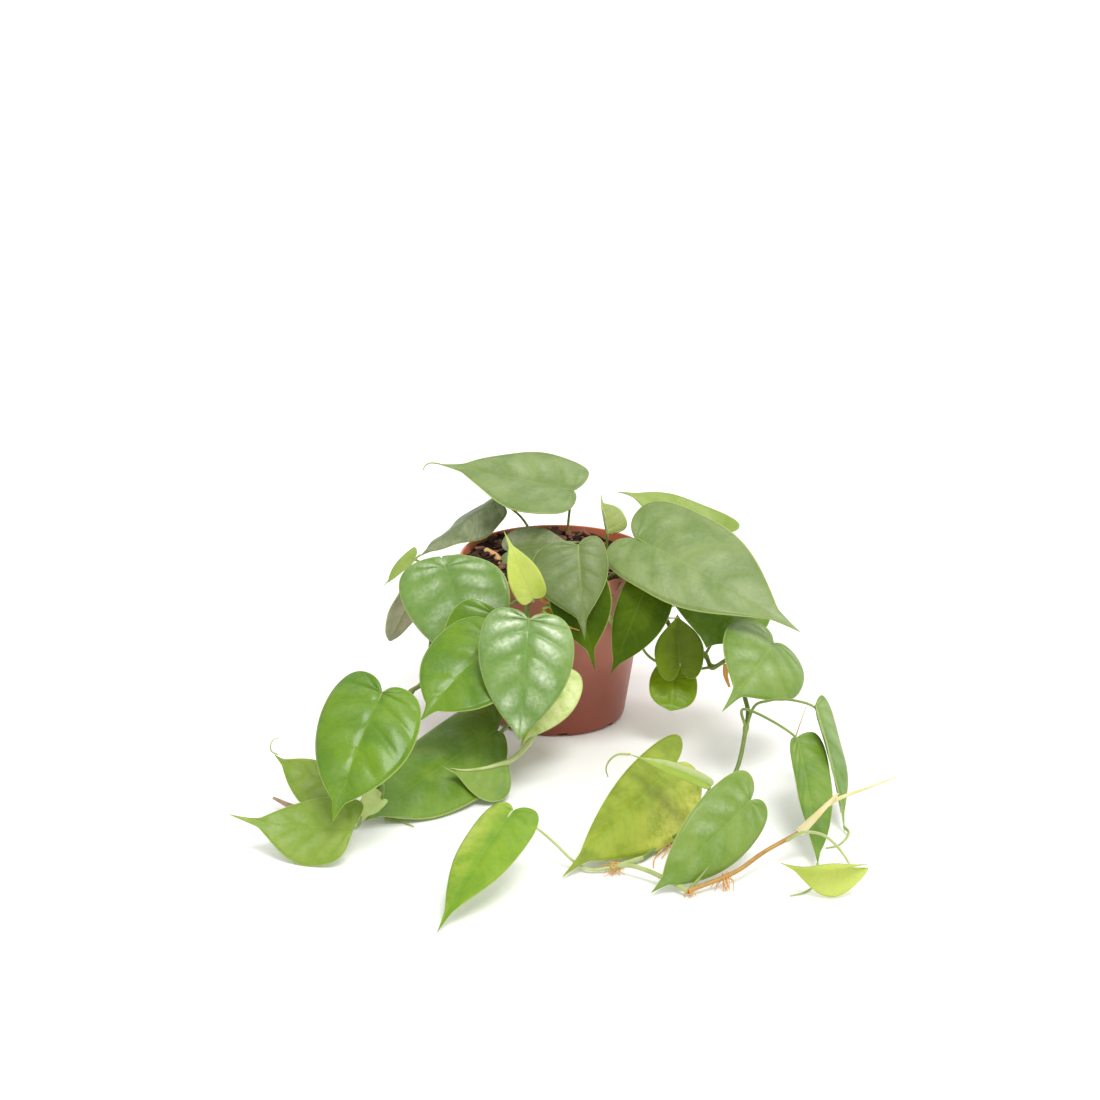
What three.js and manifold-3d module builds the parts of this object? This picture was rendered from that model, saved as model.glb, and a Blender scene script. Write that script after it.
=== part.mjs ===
// A heartleaf philodendron in a 12 cm nursery pot: thin plastic pot, bark soil, three trailing
// stems and 34 heart shaped leaves. Millimetres, +Z up, the origin in the middle of the pot's foot.
// +Y points away from the front of the plant, which trails forward, to -Y, over the floor.
import * as THREE from "three";
import { mergeGeometries, mergeVertices } from "three/addons/utils/BufferGeometryUtils.js";
import Module from "manifold-3d";

const wasm = await Module();
wasm.setup();

// Driving dimensions
const POT_RIM_RADIUS = 60;
const POT_FOOT_RADIUS = 43.5;
const POT_HEIGHT = 105;
const POT_WALL = 1.3;
const RIM_BAND_HEIGHT = 9;
const RIM_BAND_STEP = 2;
const DRAIN_SLOTS = 8;
const SOIL_LEVEL = 95.5;
const SOIL_RELIEF = 1.6;
const BARK_CHIPS = 20;
const ROOTED_TO = 80;
const GAP = 0.3;
const BLADE_THICKNESS = 0.7;
const STALK_RADIUS = 0.95;
const STEM_RADIUS = 1.5;
const NODE_SWELLING = 1.35;

const GREEN = { color: 0x6f9a45, roughness: 0.45, metalness: 0 };
const BRIGHT_GREEN = { color: 0x83b13a, roughness: 0.45, metalness: 0 };
const DARK_GREEN = { color: 0x46661d, roughness: 0.5, metalness: 0 };
const YOUNG_GREEN = { color: 0xc3d25a, roughness: 0.5, metalness: 0 };
const STEM_GREEN = { color: 0x7d8c3c, roughness: 0.55, metalness: 0 };
const TERRACOTTA_PLASTIC = { color: 0x9c5645, roughness: 0.5, metalness: 0 };
const BARK_BROWN = { color: 0x6b4534, roughness: 0.95, metalness: 0 };

// The stems, as the points they pass: out of the soil, over the rim, down and along the floor.
const RIGHT_STEM = [
  [26, -22, 80], [30, -30, 97], [41, -43, 108.5], [56, -50, 100], [75, -45, 66], [91.6, -40, 53.4],
  [95.8, -45, 47.4], [106.4, -50, 54.6], [112, -63, 50], [113.3, -80, 43.5], [114.8, -95, 37.9],
  [113.1, -105, 31.7], [107.8, -120, 13.5], [97, -142, 4.5], [80, -175, 3.2], [64, -204, 4.5],
  [48, -226, 3], [31, -239, 3.2], [38, -246, 2.6], [52, -252, 2.6], [71.5, -270, 3.4],
  [98, -255.3, 8], [115.5, -239.2, 13], [136, -224.4, 18],
];
const MIDDLE_STEM = [
  [-8, -30, 80], [-10, -40, 97], [-13.5, -57, 108.5], [-16.5, -67, 103], [-17.5, -71, 92],
  [-15, -71, 74], [-12, -73, 56], [-20, -80, 36], [-36, -92, 20], [-52, -106, 6],
];
const LEFT_STEM = [
  [-42, -14, 80], [-46, -15, 96], [-54, -17, 108.6], [-62, -19, 108], [-70, -24, 96], [-75, -38, 77],
  [-77, -62, 61], [-81.1, -85, 52], [-86.7, -95, 50.8], [-96, -122, 38], [-104, -150, 18],
  [-113, -170, 5], [-128, -168, 3], [-145, -163, 3.4],
];

// The leaves. `at` is where the stalk meets the blade, `tip` the blade's point, `face` the way its
// upper side looks and `wide` its greatest width. The midrib bows to `bend` above the straight line
// at one and two thirds of its length, the halves rise by `fold` degrees, and `dome` rounds their
// edges down. The lobes reach `lobe` lengths behind the stalk, and the tip is the longer the
// greater `taper` is. `lean` widens the right half and narrows the left one, `slant` shifts the
// left half towards the tip where it is negative. `notch` near 0 closes the gap between the lobes,
// `shoulder` and `belly` fill out the margin before and behind its widest place. `stalk` runs from
// its root to the blade.
const LEAVES = {
  leaf_01: {
    at: [10.8, 30, 137.6], tip: [-74, 45, 150], face: [0.08, -0.3, 0.95],
    wide: 68, bend: [1, 1], fold: 8, dome: 0.12, lobe: 0.06, taper: 0.7, lean: -0.04, slant: -0.03,
    stalk: [[7, 46, 80], [7, 47, 97], [9, 44, 122]],
    color: GREEN,
  },
  leaf_02: {
    at: [-38.5, 41.5, 127], tip: [-86, 16.5, 97.9], face: [-0.42, -0.2, 0.88],
    wide: 41, bend: [1, 0], fold: -12, dome: 0.2, lobe: 0.02, taper: 0.4,
    lean: 0.12,
    stalk: [[-12, 42, 80], [-13, 43, 97], [-22, 50, 113]],
    color: GREEN,
  },
  leaf_03: {
    at: [-88.6, 6, 102], tip: [-107.5, 2, 84], face: [-0.5, -0.5, 0.7],
    wide: 14, bend: [0, 0], fold: 20, dome: 0, lobe: 0.06, taper: 0.6,
    stalk: [[-40, -10, 80], [-42, -12, 97], [-58, -16, 108], [-76, -6, 101]],
    color: YOUNG_GREEN,
  },
  leaf_04: {
    at: [-85, 12, 82], tip: [-105, 10, 44], face: [-0.6, 0.75, 0.2],
    wide: 26, bend: [2, 1], fold: 5, dome: 0.1, lobe: 0.1, taper: 0.4,
    stalk: [[-44, -2, 80], [-46, -4, 97], [-60, -10, 108], [-74, 2, 96]],
    color: DARK_GREEN,
  },
  leaf_05: {
    at: [-67.9, -35.3, 109.6], tip: [-42.9, -74.3, 59.9], face: [-0.3, -0.78, 0.55],
    wide: 66, bend: [3, 2], fold: 6, dome: 0.08, lobe: 0.11, taper: 0.1,
    slant: -0.16, notch: 0.12, belly: 0.6,
    stalk: [[-36, -18, 80], [-38, -20, 97], [-56, -28, 112]],
    color: GREEN,
  },
  leaf_06: {
    at: [-35.6, -66, 89.4], tip: [-58.9, -90, 39.1], face: [0.06, -0.91, 0.41],
    wide: 53, bend: [2, 1], fold: 6, dome: 0.15, lobe: 0.06, taper: 0.2,
    notch: 0.15, belly: 0.6,
    stalk: [[-16.5, -67, 103], [-23, -72, 101]],
    color: GREEN,
  },
  leaf_07: {
    at: [-36.6, -93, 83.1], tip: [-79.5, -137, 49.1], face: [-0.2, -0.75, 0.6],
    wide: 60, bend: [6, 4], fold: 8, dome: 0.16, lobe: 0.14, taper: 0.5,
    lean: -0.06, belly: 0.72,
    stalk: [[-17.5, -71, 92], [-26, -82, 91]],
    color: BRIGHT_GREEN,
  },
  leaf_08: {
    at: [-16.1, -108.8, 102.2], tip: [-21.9, -135.8, 36.5], face: [0, -0.94, 0.3],
    wide: 57, bend: [9, 7], fold: 10, dome: 0.26, lobe: 0.07, taper: 0.1,
    slant: -0.03,
    stalk: [[-16.3, -71, 84], [-17, -92, 94.5]],
    color: GREEN,
  },
  leaf_09: {
    at: [-13.8, -80.6, 105.3], tip: [-31, -82.6, 148.3], face: [0.1, -0.95, 0.2],
    wide: 22, bend: [1, 0], fold: 24, dome: 0, lobe: 0.04, taper: 1,
    stalk: [[-16.5, -67, 103], [-14, -75, 101]],
    color: YOUNG_GREEN,
  },
  leaf_10: {
    at: [-30, 6, 105.4], tip: [16, -6, 115.4], face: [-0.15, -0.6, 0.78],
    wide: 31, bend: [3, 1], fold: 6, dome: 0.12, lobe: 0.1, taper: 1,
    stalk: [[-28, 14, 80], [-29, 14, 96]],
    color: GREEN,
  },
  leaf_11: {
    at: [13.1, -60, 131.6], tip: [17.1, -90, 81.5], face: [0, -0.88, 0.47],
    wide: 47, bend: [5, 4], fold: 8, dome: 0.2, lobe: 0.065, taper: 1,
    lean: 0.26, slant: 0.055,
    stalk: [[8, -24, 80], [8, -28, 97], [12, -48, 122]],
    color: GREEN,
  },
  leaf_12: {
    at: [11.3, -67, 115], tip: [23.4, -83, 59], face: [0.1, -0.95, 0.3],
    wide: 38, bend: [2, 1], fold: 8, dome: 0.1, lobe: 0.1, taper: 1,
    stalk: [[14, -28, 80], [14, -32, 97], [13, -56, 117]],
    color: DARK_GREEN,
  },
  leaf_13: {
    at: [55.6, -52, 106], tip: [33, -74, 54], face: [0.05, -0.95, 0.3],
    wide: 33, bend: [4, 2], fold: 8, dome: 0.12, lobe: 0.03, taper: 0.4, lean: -0.2,
    stalk: [[34, -30, 80], [36, -34, 97], [47, -46, 108.5]],
    color: DARK_GREEN,
  },
  leaf_14: {
    at: [48.2, -34, 127.3], tip: [146, -82, 84], face: [0.15, -0.62, 0.77],
    wide: 70, bend: [6, 4], fold: 7, dome: 0.16, lobe: 0.085, taper: 0.6,
    lean: -0.11, shoulder: 0.9,
    stalk: [[38, -16, 80], [39, -18, 97], [42, -26, 118]],
    color: GREEN,
  },
  leaf_15: {
    at: [32, -12, 123], tip: [28, -6, 146], face: [0.7, -0.7, 0.1],
    wide: 27, bend: [0, -2], fold: 50, dome: 0, lobe: 0.02, taper: 0.9,
    belly: 0.8,
    stalk: [[30, -4, 80], [30, -4, 97], [31.5, -9, 115]],
    color: YOUNG_GREEN,
  },
  leaf_16: {
    at: [103, 8, 117], tip: [38.5, 36, 134.5], face: [0, -0.35, 0.93],
    wide: 36, bend: [-3, 8], fold: 10, dome: 0.15, lobe: 0.12, taper: 0.6,
    stalk: [[42, 8, 80], [44, 8, 97], [66, 8, 111]],
    color: YOUNG_GREEN,
  },
  leaf_17: {
    at: [111.7, -30, 93], tip: [91, -62, 66.3], face: [0.1, -0.75, 0.6],
    wide: 74, bend: [4, 2], fold: 5, dome: 0.15, lobe: 0.14, taper: 0.2,
    lean: 0.28,
    stalk: [[91.6, -40, 53.4], [98, -32, 62], [108, -24, 84]],
    color: DARK_GREEN,
  },
  leaf_18: {
    at: [75.5, -58, 53], tip: [73.5, -56, 86], face: [0.1, -0.95, 0.1],
    wide: 31, bend: [-2, -2], fold: 10, dome: 0.15, lobe: 0.25, taper: 0.3,
    stalk: [[56, -50, 100], [49, -52, 80], [54, -51, 60], [64, -51, 52]],
    color: DARK_GREEN,
  },
  leaf_19: {
    at: [72.6, -46, 41], tip: [70, -60, 24.5], face: [0.1, -0.8, 0.6],
    wide: 30, bend: [1, 1], fold: 5, dome: 0.1, lobe: 0.45, taper: -0.2,
    belly: 0.85,
    stalk: [[95.8, -45, 47.4], [84, -42, 44]],
    color: BRIGHT_GREEN,
  },
  leaf_20: {
    at: [132, -66, 71.8], tip: [97.4, -124, 49.6], face: [0.25, -0.75, 0.6],
    wide: 58, bend: [12, 6], fold: 4, dome: 0.25, lobe: 0.14, taper: 1,
    lean: -0.04, slant: -0.04, belly: 0.6,
    stalk: [[106.4, -50, 54.6], [118, -54, 66]],
    color: GREEN,
  },
  leaf_22: {
    at: [152, -132, 56], tip: [165, -186, 1.5], face: [0.92, -0.3, 0.2],
    wide: 34, bend: [2, 3], fold: 16, dome: 0.1, lobe: 0.1, taper: 0.5,
    stalk: [[113.1, -105, 31.7], [118, -102.6, 44.6], [125, -113, 52.2], [134, -121, 56.6]],
    color: GREEN,
  },
  leaf_23: {
    at: [139.5, -150, 44.5], tip: [145.2, -238, 3.5], face: [0.25, -0.5, 0.83],
    wide: 22.5, bend: [4, 4], fold: 6, dome: 0.1, lobe: 0.04, taper: 0.2,
    lean: -0.32, belly: 0.6,
    stalk: [[113.1, -105, 31.7], [110, -108, 44], [120, -130, 50]],
    color: GREEN,
  },
  leaf_24: {
    at: [159.4, -270, 17], tip: [122.5, -262, 16.4], face: [0.05, -0.92, -0.35],
    wide: 28, bend: [4, 5], fold: 38, dome: 0.1, lobe: 0.2, taper: 0.8,
    stalk: [[128, -231, 15.6], [136, -234, 22], [146, -243, 25], [154, -257, 23.5]],
    color: YOUNG_GREEN,
  },
  leaf_26: {
    at: [108, -226, 38], tip: [51, -271, 2.5], face: [0.38, -0.8, 0.45],
    wide: 40, bend: [7, 5], fold: 6, dome: 0.2, lobe: 0.1, taper: 0.4,
    lean: 0.03, slant: -0.06,
    stalk: [[71.5, -270, 3.4], [84, -255, 12], [98, -237.5, 27]],
    color: GREEN,
  },
  leaf_27: {
    at: [69.7, -160, 33], tip: [2.6, -250, 2], face: [0.4, -0.53, 0.75],
    wide: 46, bend: [8, 6], fold: 6, dome: 0.2, lobe: 0.1, taper: 0.6,
    lean: -0.22, slant: -0.12,
    stalk: [[80, -175, 3.2], [78, -166, 18]],
    color: YOUNG_GREEN,
  },
  leaf_28: {
    at: [86, -212, 41], tip: [41, -184, 48], face: [0.1, -0.5, 0.86],
    wide: 10, bend: [3, 2], fold: 10, dome: 0, lobe: 0.02, taper: 0.6,
    lean: 0,
    stalk: [[64, -204, 4.5], [73, -213, 15], [80, -215, 31]],
    color: YOUNG_GREEN,
  },
  leaf_29: {
    at: [-24.1, -236, 36.6], tip: [-63.6, -317, 1.6], face: [-0.1, -0.42, 0.9],
    wide: 35, bend: [6, 5], fold: 6, dome: 0.2, lobe: 0.05, taper: 0.5,
    lean: -0.11,
    stalk: [[31, -239, 3.2], [20, -246, 1.9], [8, -245, 1.9], [-6, -238, 8]],
    color: BRIGHT_GREEN,
  },
  leaf_30: {
    at: [-98.9, -178, 83.6], tip: [-124.5, -234, 27.8], face: [-0.2, -0.85, 0.48],
    wide: 59, bend: [8, 6], fold: 8, dome: 0.26, lobe: 0.1, taper: 0.5,
    slant: -0.07, belly: 0.62, shoulder: 0.84,
    stalk: [[-86.7, -95, 50.8], [-91, -125, 70], [-95.5, -160, 83.5]],
    color: BRIGHT_GREEN,
  },
  leaf_31: {
    at: [-114, -222, 19.5], tip: [-183.5, -217, 25.5], face: [-0.05, -0.7, 0.7],
    wide: 42, bend: [-6, -15], fold: 6, dome: 0.15, lobe: 0.02, taper: 1,
    lean: -0.1, slant: -0.08,
    stalk: [[-113, -170, 5], [-112, -198, 11]],
    color: GREEN,
  },
  leaf_32: {
    at: [-123, -164, 18], tip: [-162, -168, 41], face: [0.1, -0.75, 0.6],
    wide: 30, bend: [-7, -11], fold: 6, dome: 0.1, lobe: 0.1, taper: 0.6,
    lean: -0.25,
    stalk: [[-128, -168, 3], [-125, -165, 10]],
    color: GREEN,
  },
  leaf_33: {
    at: [-98, -164, 13.5], tip: [-110, -181.5, 8.2], face: [0.2, -0.8, 0.5],
    wide: 12, bend: [2, 1], fold: 6, dome: 0.1, lobe: 0.1, taper: 0.2,
    lean: 0.4,
    stalk: [[-104, -150, 18], [-100, -164, 20]],
    color: YOUNG_GREEN,
  },
  leaf_34: {
    at: [-35.6, -88, 23.4], tip: [-110, -180, 5], face: [0.1, -0.4, 0.91],
    wide: 59, bend: [3, 2], fold: 6, dome: 0.2, lobe: 0.06, taper: 0.1,
    lean: -0.05, slant: -0.25, belly: 0.75,
    stalk: [[-36, -92, 20], [-34, -88, 17]],
    color: BRIGHT_GREEN,
  },
  withered_leaf: {
    at: [-5, -64.5, 95], tip: [9, -69, 80], face: [0.1, -0.9, 0.4],
    wide: 15, bend: [1, 1], fold: 12, dome: 0.1, lobe: 0.05, taper: 0.3,
    stalk: [[-16.5, -67, 103], [-9, -64, 99]],
    color: YOUNG_GREEN,
  },
  leaf_35: {
    at: [-0.1, -80, 60.3], tip: [-21.5, -110.5, 21], face: [0.11, -0.81, 0.57],
    wide: 36, bend: [2, 1], fold: 8, dome: 0.1, lobe: 0.06, taper: 0.5, lean: -0.15,
    stalk: [[-12, -73, 56], [-6, -76, 60]],
    color: BRIGHT_GREEN,
  },
  leaf_36: {
    at: [-28.6, -124, 17], tip: [-66.3, -146, 24.4], face: [-0.24, 0.34, -0.91],
    wide: 26, bend: [6, 8], fold: 12, dome: 0, lobe: 0.02, taper: 0.9,
    lean: 0.75, slant: 0.15,
    stalk: [[-20, -80, 36], [-12, -98, 30], [-17, -110, 23]],
    color: BRIGHT_GREEN,
  },
};

// Short air roots at three joints of the right stem
const ROOTS = [
  [[33.5, -239.6, 3.2], [28, -243, 2], [24, -249, 1.2]],
  [[33.5, -242, 3], [33, -247, 2.4], [37, -252, 1.2]],
  [[64, -204, 4.5], [60, -214, 3.4], [55, -223, 1.2], [55, -232, 1]],
  [[98, -255.3, 8], [100, -259, 4.5], [96, -264, 1.4]],
];

// Shoots, sheaths and the stub of an old stem: the points they pass, and their radius at each end
const SHOOTS = {
  shoot_sheath: {
    points: [[136, -224.4, 18], [146.7, -225, 30.5], [156.7, -222, 40.5]],
    radii: [2.3, 0.7],
    color: YOUNG_GREEN,
  },
  young_shoot: {
    points: [[149.6, -223.6, 33.6], [158, -218.5, 36], [175.8, -210, 39.1], [192, -200, 41]],
    radii: [1.5, 0.5],
    color: YOUNG_GREEN,
  },
  left_sheath: {
    points: [[-145, -163, 3.4], [-154, -159, 4.6], [-165, -154, 8]],
    radii: [2.5, 0.9],
    color: BARK_BROWN,
  },
  dry_sheath: {
    points: [[106.6, -51, 52], [106, -53, 46], [108, -55, 38.5]],
    radii: [2.6, 0.8],
    color: BARK_BROWN,
  },
  old_stub: {
    points: [[-28, -4, 86], [-33, 4, 96], [-38, 13, 101], [-43, 24, 102]],
    radii: [2.4, 2.2],
    color: YOUNG_GREEN,
  },
};

const v3 = (p) => new THREE.Vector3(p[0], p[1], p[2]);

// A mesh's geometry as a solid, and a solid as a geometry again
function solidOf(geometry) {
  const bare = new THREE.BufferGeometry();
  bare.setAttribute("position", geometry.getAttribute("position"));
  bare.setIndex(geometry.index);
  const merged = mergeVertices(bare, 1e-3);
  const triVerts = [];
  const index = merged.index.array;
  for (let i = 0; i < index.length; i += 3) {
    const [a, b, c] = [index[i], index[i + 1], index[i + 2]];
    if (a !== b && b !== c && c !== a) triVerts.push(a, b, c);
  }
  return new wasm.Manifold(
    new wasm.Mesh({
      numProp: 3,
      vertProperties: merged.attributes.position.array,
      triVerts: new Uint32Array(triVerts),
    }),
  );
}

function geometryOf(solid) {
  const mesh = solid.getMesh();
  const geometry = new THREE.BufferGeometry();
  geometry.setAttribute("position", new THREE.BufferAttribute(new Float32Array(mesh.vertProperties), 3));
  geometry.setIndex(Array.from(mesh.triVerts));
  return geometry;
}

// The largest body of a solid: what a cut leaves over is dropped
function largest(solid) {
  return solid.decompose().sort((a, b) => b.volume() - a.volume())[0];
}

// A round rod along points, its radius given at its start and end
function rod(points, radius, endRadius = radius, sides = 6, steps = 8, swell = []) {
  const curve = new THREE.CatmullRomCurve3(points.map(v3), false, "centripetal");
  const ring = [];
  for (let i = 0; i < sides; i++) {
    const angle = (2 * Math.PI * i) / sides;
    ring.push(new THREE.Vector2(radius * Math.cos(angle), radius * Math.sin(angle)));
  }
  const geometry = new THREE.ExtrudeGeometry(new THREE.Shape(ring), { extrudePath: curve, steps });
  const centres = curve.getSpacedPoints(steps);
  const knots = swell.map(v3);
  const position = geometry.getAttribute("position");
  const point = new THREE.Vector3();
  for (let i = 0; i < position.count; i++) {
    point.fromBufferAttribute(position, i);
    let near = 0;
    for (let k = 1; k <= steps; k++)
      if (centres[k].distanceTo(point) < centres[near].distanceTo(point)) near = k;
    const close = knots.some((knot) => knot.distanceTo(centres[near]) < 4);
    const thick = THREE.MathUtils.lerp(radius, endRadius, near / steps) * (close ? NODE_SWELLING : 1);
    point.sub(centres[near]).multiplyScalar(thick / radius).add(centres[near]);
    position.setXYZ(i, point.x, point.y, point.z);
  }
  return solidOf(geometry);
}

// A leaf's margin from the stalk round one lobe to the tip: across in half widths, along in lengths
function halfMargin(leaf, steps) {
  const back = -leaf.lobe;
  const neck = 0.93 - 0.18 * leaf.taper;
  const { notch = 1, shoulder = 0.8, belly = 0.45 } = leaf;
  const pieces = [
    [[0, 0], [0.06 * notch, 0.5 * back], [0.22 * notch, 1.1 * back], [0.5, back]],
    [[0.5, back], [shoulder, 0.9 * back], [1, 0.04], [1, 0.25]],
    [[1, 0.25], [1, 0.56 - 0.1 * leaf.taper], [belly, neck - 0.13], [0.14, neck]],
    [[0.14, neck], [0.07, neck + 0.05], [0.02, 0.97], [0, 1]],
  ];
  const margin = [new THREE.Vector2(0, 0)];
  pieces.forEach((piece, n) => {
    const curve = new THREE.CubicBezierCurve(...piece.map((p) => new THREE.Vector2(p[0], p[1])));
    margin.push(...curve.getPoints(steps[n]).slice(1));
  });
  return margin;
}

// A point of the blade's middle surface, from its place across and along
function bladePoint(leaf, spine, across, along) {
  along += (leaf.slant ?? 0) * across * (1 - along);
  const t = Math.max(0, along);
  const length = v3(leaf.at).distanceTo(v3(leaf.tip));
  const tangent = spine.getTangent(t);
  const centre = spine.getPoint(t).addScaledVector(tangent, Math.min(0, along) * length);
  const normal = v3(leaf.face);
  normal.addScaledVector(tangent, -normal.dot(tangent)).normalize();
  const right = tangent.clone().cross(normal);
  const reach = (across * leaf.wide * (1 + Math.sign(across) * (leaf.lean ?? 0))) / 2;
  const fold = THREE.MathUtils.degToRad(leaf.fold);
  const rise = Math.abs(reach) * Math.sin(fold) - (leaf.dome * across * across * leaf.wide) / 2;
  return centre.addScaledVector(right, reach * Math.cos(fold)).addScaledVector(normal, rise);
}

function spineOf(leaf) {
  const at = v3(leaf.at);
  const chord = v3(leaf.tip).sub(at);
  const up = v3(leaf.face);
  up.addScaledVector(chord, -up.dot(chord) / chord.lengthSq()).normalize();
  const first = at.clone().addScaledVector(chord, 0.33).addScaledVector(up, leaf.bend[0]);
  const second = at.clone().addScaledVector(chord, 0.7).addScaledVector(up, leaf.bend[1]);
  return new THREE.CubicBezierCurve3(at, first, second, v3(leaf.tip));
}

// The blade: two halves of two strips each, from the midrib to the margin, given their thickness
function blade(leaf) {
  const spine = spineOf(leaf);
  const margin = halfMargin(leaf, [2, 2, 4, 1]);
  const positions = [];
  for (const side of [1, -1]) {
    const rows = margin.map((edge) => {
      const root = Math.max(0, edge.y) ** 1.35;
      return [0, 0.5, 1].map((u) => {
        const across = side * edge.x * u;
        const along = THREE.MathUtils.lerp(root, edge.y, u);
        return bladePoint(leaf, spine, across, along);
      });
    });
    for (let i = 1; i < rows.length; i++) {
      for (let j = 0; j < 2; j++) {
        const [a, b, c, d] = [rows[i - 1][j], rows[i - 1][j + 1], rows[i][j + 1], rows[i][j]];
        const corners = side > 0 ? [a, b, c, a, c, d] : [a, c, b, a, d, c];
        corners.forEach((p) => positions.push(p.x, p.y, p.z));
      }
    }
  }
  return thicken(positions, BLADE_THICKNESS);
}

// A closed sheet of even thickness round an open surface given as loose triangles
function thicken(positions, thickness) {
  const loose = new THREE.BufferGeometry();
  loose.setAttribute("position", new THREE.Float32BufferAttribute(positions, 3));
  const sheet = mergeVertices(loose, 1e-3);
  const index = sheet.index.array;
  const faces = [];
  for (let i = 0; i < index.length; i += 3) {
    const face = [index[i], index[i + 1], index[i + 2]];
    if (new Set(face).size === 3) faces.push(face);
  }
  sheet.setIndex(faces.flat());
  sheet.computeVertexNormals();
  const count = sheet.getAttribute("position").count;
  const points = [];
  for (const side of [0.5, -0.5]) {
    for (let i = 0; i < count; i++) {
      const p = new THREE.Vector3().fromBufferAttribute(sheet.getAttribute("position"), i);
      const n = new THREE.Vector3().fromBufferAttribute(sheet.getAttribute("normal"), i);
      p.addScaledVector(n, side * thickness);
      points.push(p.x, p.y, p.z);
    }
  }
  const edges = new Set(faces.flatMap(([a, b, c]) => [`${a},${b}`, `${b},${c}`, `${c},${a}`]));
  const triangles = [];
  for (const [a, b, c] of faces) {
    triangles.push(a, b, c, count + c, count + b, count + a);
    for (const [from, to] of [[a, b], [b, c], [c, a]]) {
      if (edges.has(`${to},${from}`)) continue;
      triangles.push(from, count + from, count + to, from, count + to, to);
    }
  }
  const closed = new THREE.BufferGeometry();
  closed.setAttribute("position", new THREE.Float32BufferAttribute(points, 3));
  closed.setIndex(triangles);
  return solidOf(closed);
}

// The stalk: up to the blade's root and on under its midrib, level with the blade's upper side
function stalkPoints(leaf) {
  const spine = spineOf(leaf);
  const sink = (t) => {
    const tangent = spine.getTangent(t);
    const normal = v3(leaf.face);
    normal.addScaledVector(tangent, -normal.dot(tangent)).normalize();
    return spine.getPoint(t).addScaledVector(normal, -STALK_RADIUS * 0.55).toArray();
  };
  return [...leaf.stalk, sink(0), sink(0.09)];
}

const philodendron = new THREE.Group();
philodendron.name = "philodendron";

function addMesh(name, solid, material, origin = [0, 0, 0]) {
  const geometry = geometryOf(solid);
  geometry.translate(-origin[0], -origin[1], -origin[2]);
  geometry.computeVertexNormals();
  const mesh = new THREE.Mesh(geometry, new THREE.MeshStandardMaterial(material));
  mesh.name = name;
  mesh.position.set(...origin);
  philodendron.add(mesh);
}

// Pot: a tapered shell with a rounded foot and a thicker band round the rim
const bandFoot = POT_HEIGHT - RIM_BAND_HEIGHT;
const bodyTop = POT_RIM_RADIUS - RIM_BAND_STEP;
const innerFoot = POT_FOOT_RADIUS - POT_WALL;
const potProfile = [
  [0, 0], [POT_FOOT_RADIUS - 3.5, 0], [POT_FOOT_RADIUS - 1, 1.2], [POT_FOOT_RADIUS, 3.8],
  [bodyTop, bandFoot - 1], [POT_RIM_RADIUS - 0.3, bandFoot], [POT_RIM_RADIUS, POT_HEIGHT - 0.6],
  [POT_RIM_RADIUS - 0.6, POT_HEIGHT], [POT_RIM_RADIUS - 1.7, POT_HEIGHT],
  [bodyTop - POT_WALL, bandFoot - 1.5], [innerFoot, 4.2], [innerFoot - 2.6, POT_WALL], [0, POT_WALL],
];
const potShell = new THREE.LatheGeometry(potProfile.map((p) => new THREE.Vector2(p[0], p[1])), 40);
potShell.rotateX(Math.PI / 2);
let pot = solidOf(potShell);
for (let i = 0; i < DRAIN_SLOTS; i++) {
  const slot = new THREE.BoxGeometry(8, 7, 3.6);
  slot.translate(POT_FOOT_RADIUS, 0, 0.6);
  slot.rotateZ(((i + 0.13) * 2 * Math.PI) / DRAIN_SLOTS);
  pot = pot.subtract(solidOf(slot));
}
addMesh("pot", pot, TERRACOTTA_PLASTIC);

// Stems: the swellings stand at the joints that carry leaves
const stalks = Object.entries(LEAVES).map(([name, leaf]) => ({ name, points: stalkPoints(leaf) }));
const joints = Object.values(LEAVES).map((leaf) => leaf.stalk[0]);
const stemSolid = (points, extra, steps) =>
  rod(points, STEM_RADIUS + extra, STEM_RADIUS * 0.9 + extra, 6, steps, joints);
const stems = {
  right_stem: [RIGHT_STEM, 52],
  middle_stem: [MIDDLE_STEM, 20],
  left_stem: [LEFT_STEM, 28],
};
const grownStems = Object.values(stems).map(([points, steps]) => stemSolid(points, GAP, steps));
for (const [name, [points, steps]] of Object.entries(stems)) {
  let solid = stemSolid(points, 0, steps);
  if (name === "right_stem")
    for (const root of ROOTS) solid = solid.add(rod(root, 0.9, 0.6, 5, 4));
  addMesh(name, solid, STEM_GREEN, points[0]);
}
const grownRoots = ROOTS.map((root) => rod(root, 0.9 + GAP, 0.6 + GAP, 5, 4));

// Shoots and sheaths, cut clear of the stems they sit on
for (const [name, shoot] of Object.entries(SHOOTS)) {
  let solid = rod(shoot.points, shoot.radii[0], shoot.radii[1], 6, 6);
  for (const stem of grownStems) solid = solid.subtract(stem);
  if (name === "young_shoot") {
    const sheath = SHOOTS.shoot_sheath;
    solid = solid.subtract(rod(sheath.points, sheath.radii[0] + GAP, sheath.radii[1] + GAP, 6, 6));
  }
  addMesh(name, largest(solid), shoot.color, shoot.points[0]);
}

// Leaves: the blade and its stalk in one, the stalk's root clear of the stem that carries it
for (const { name, points } of stalks) {
  const leaf = LEAVES[name];
  let solid = blade(leaf).add(rod(points, STALK_RADIUS, STALK_RADIUS * 0.7, 5, points.length + 2));
  for (const stem of [...grownStems, ...grownRoots]) solid = solid.subtract(stem);
  addMesh(name, largest(solid), leaf.color, leaf.at);
}

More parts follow.
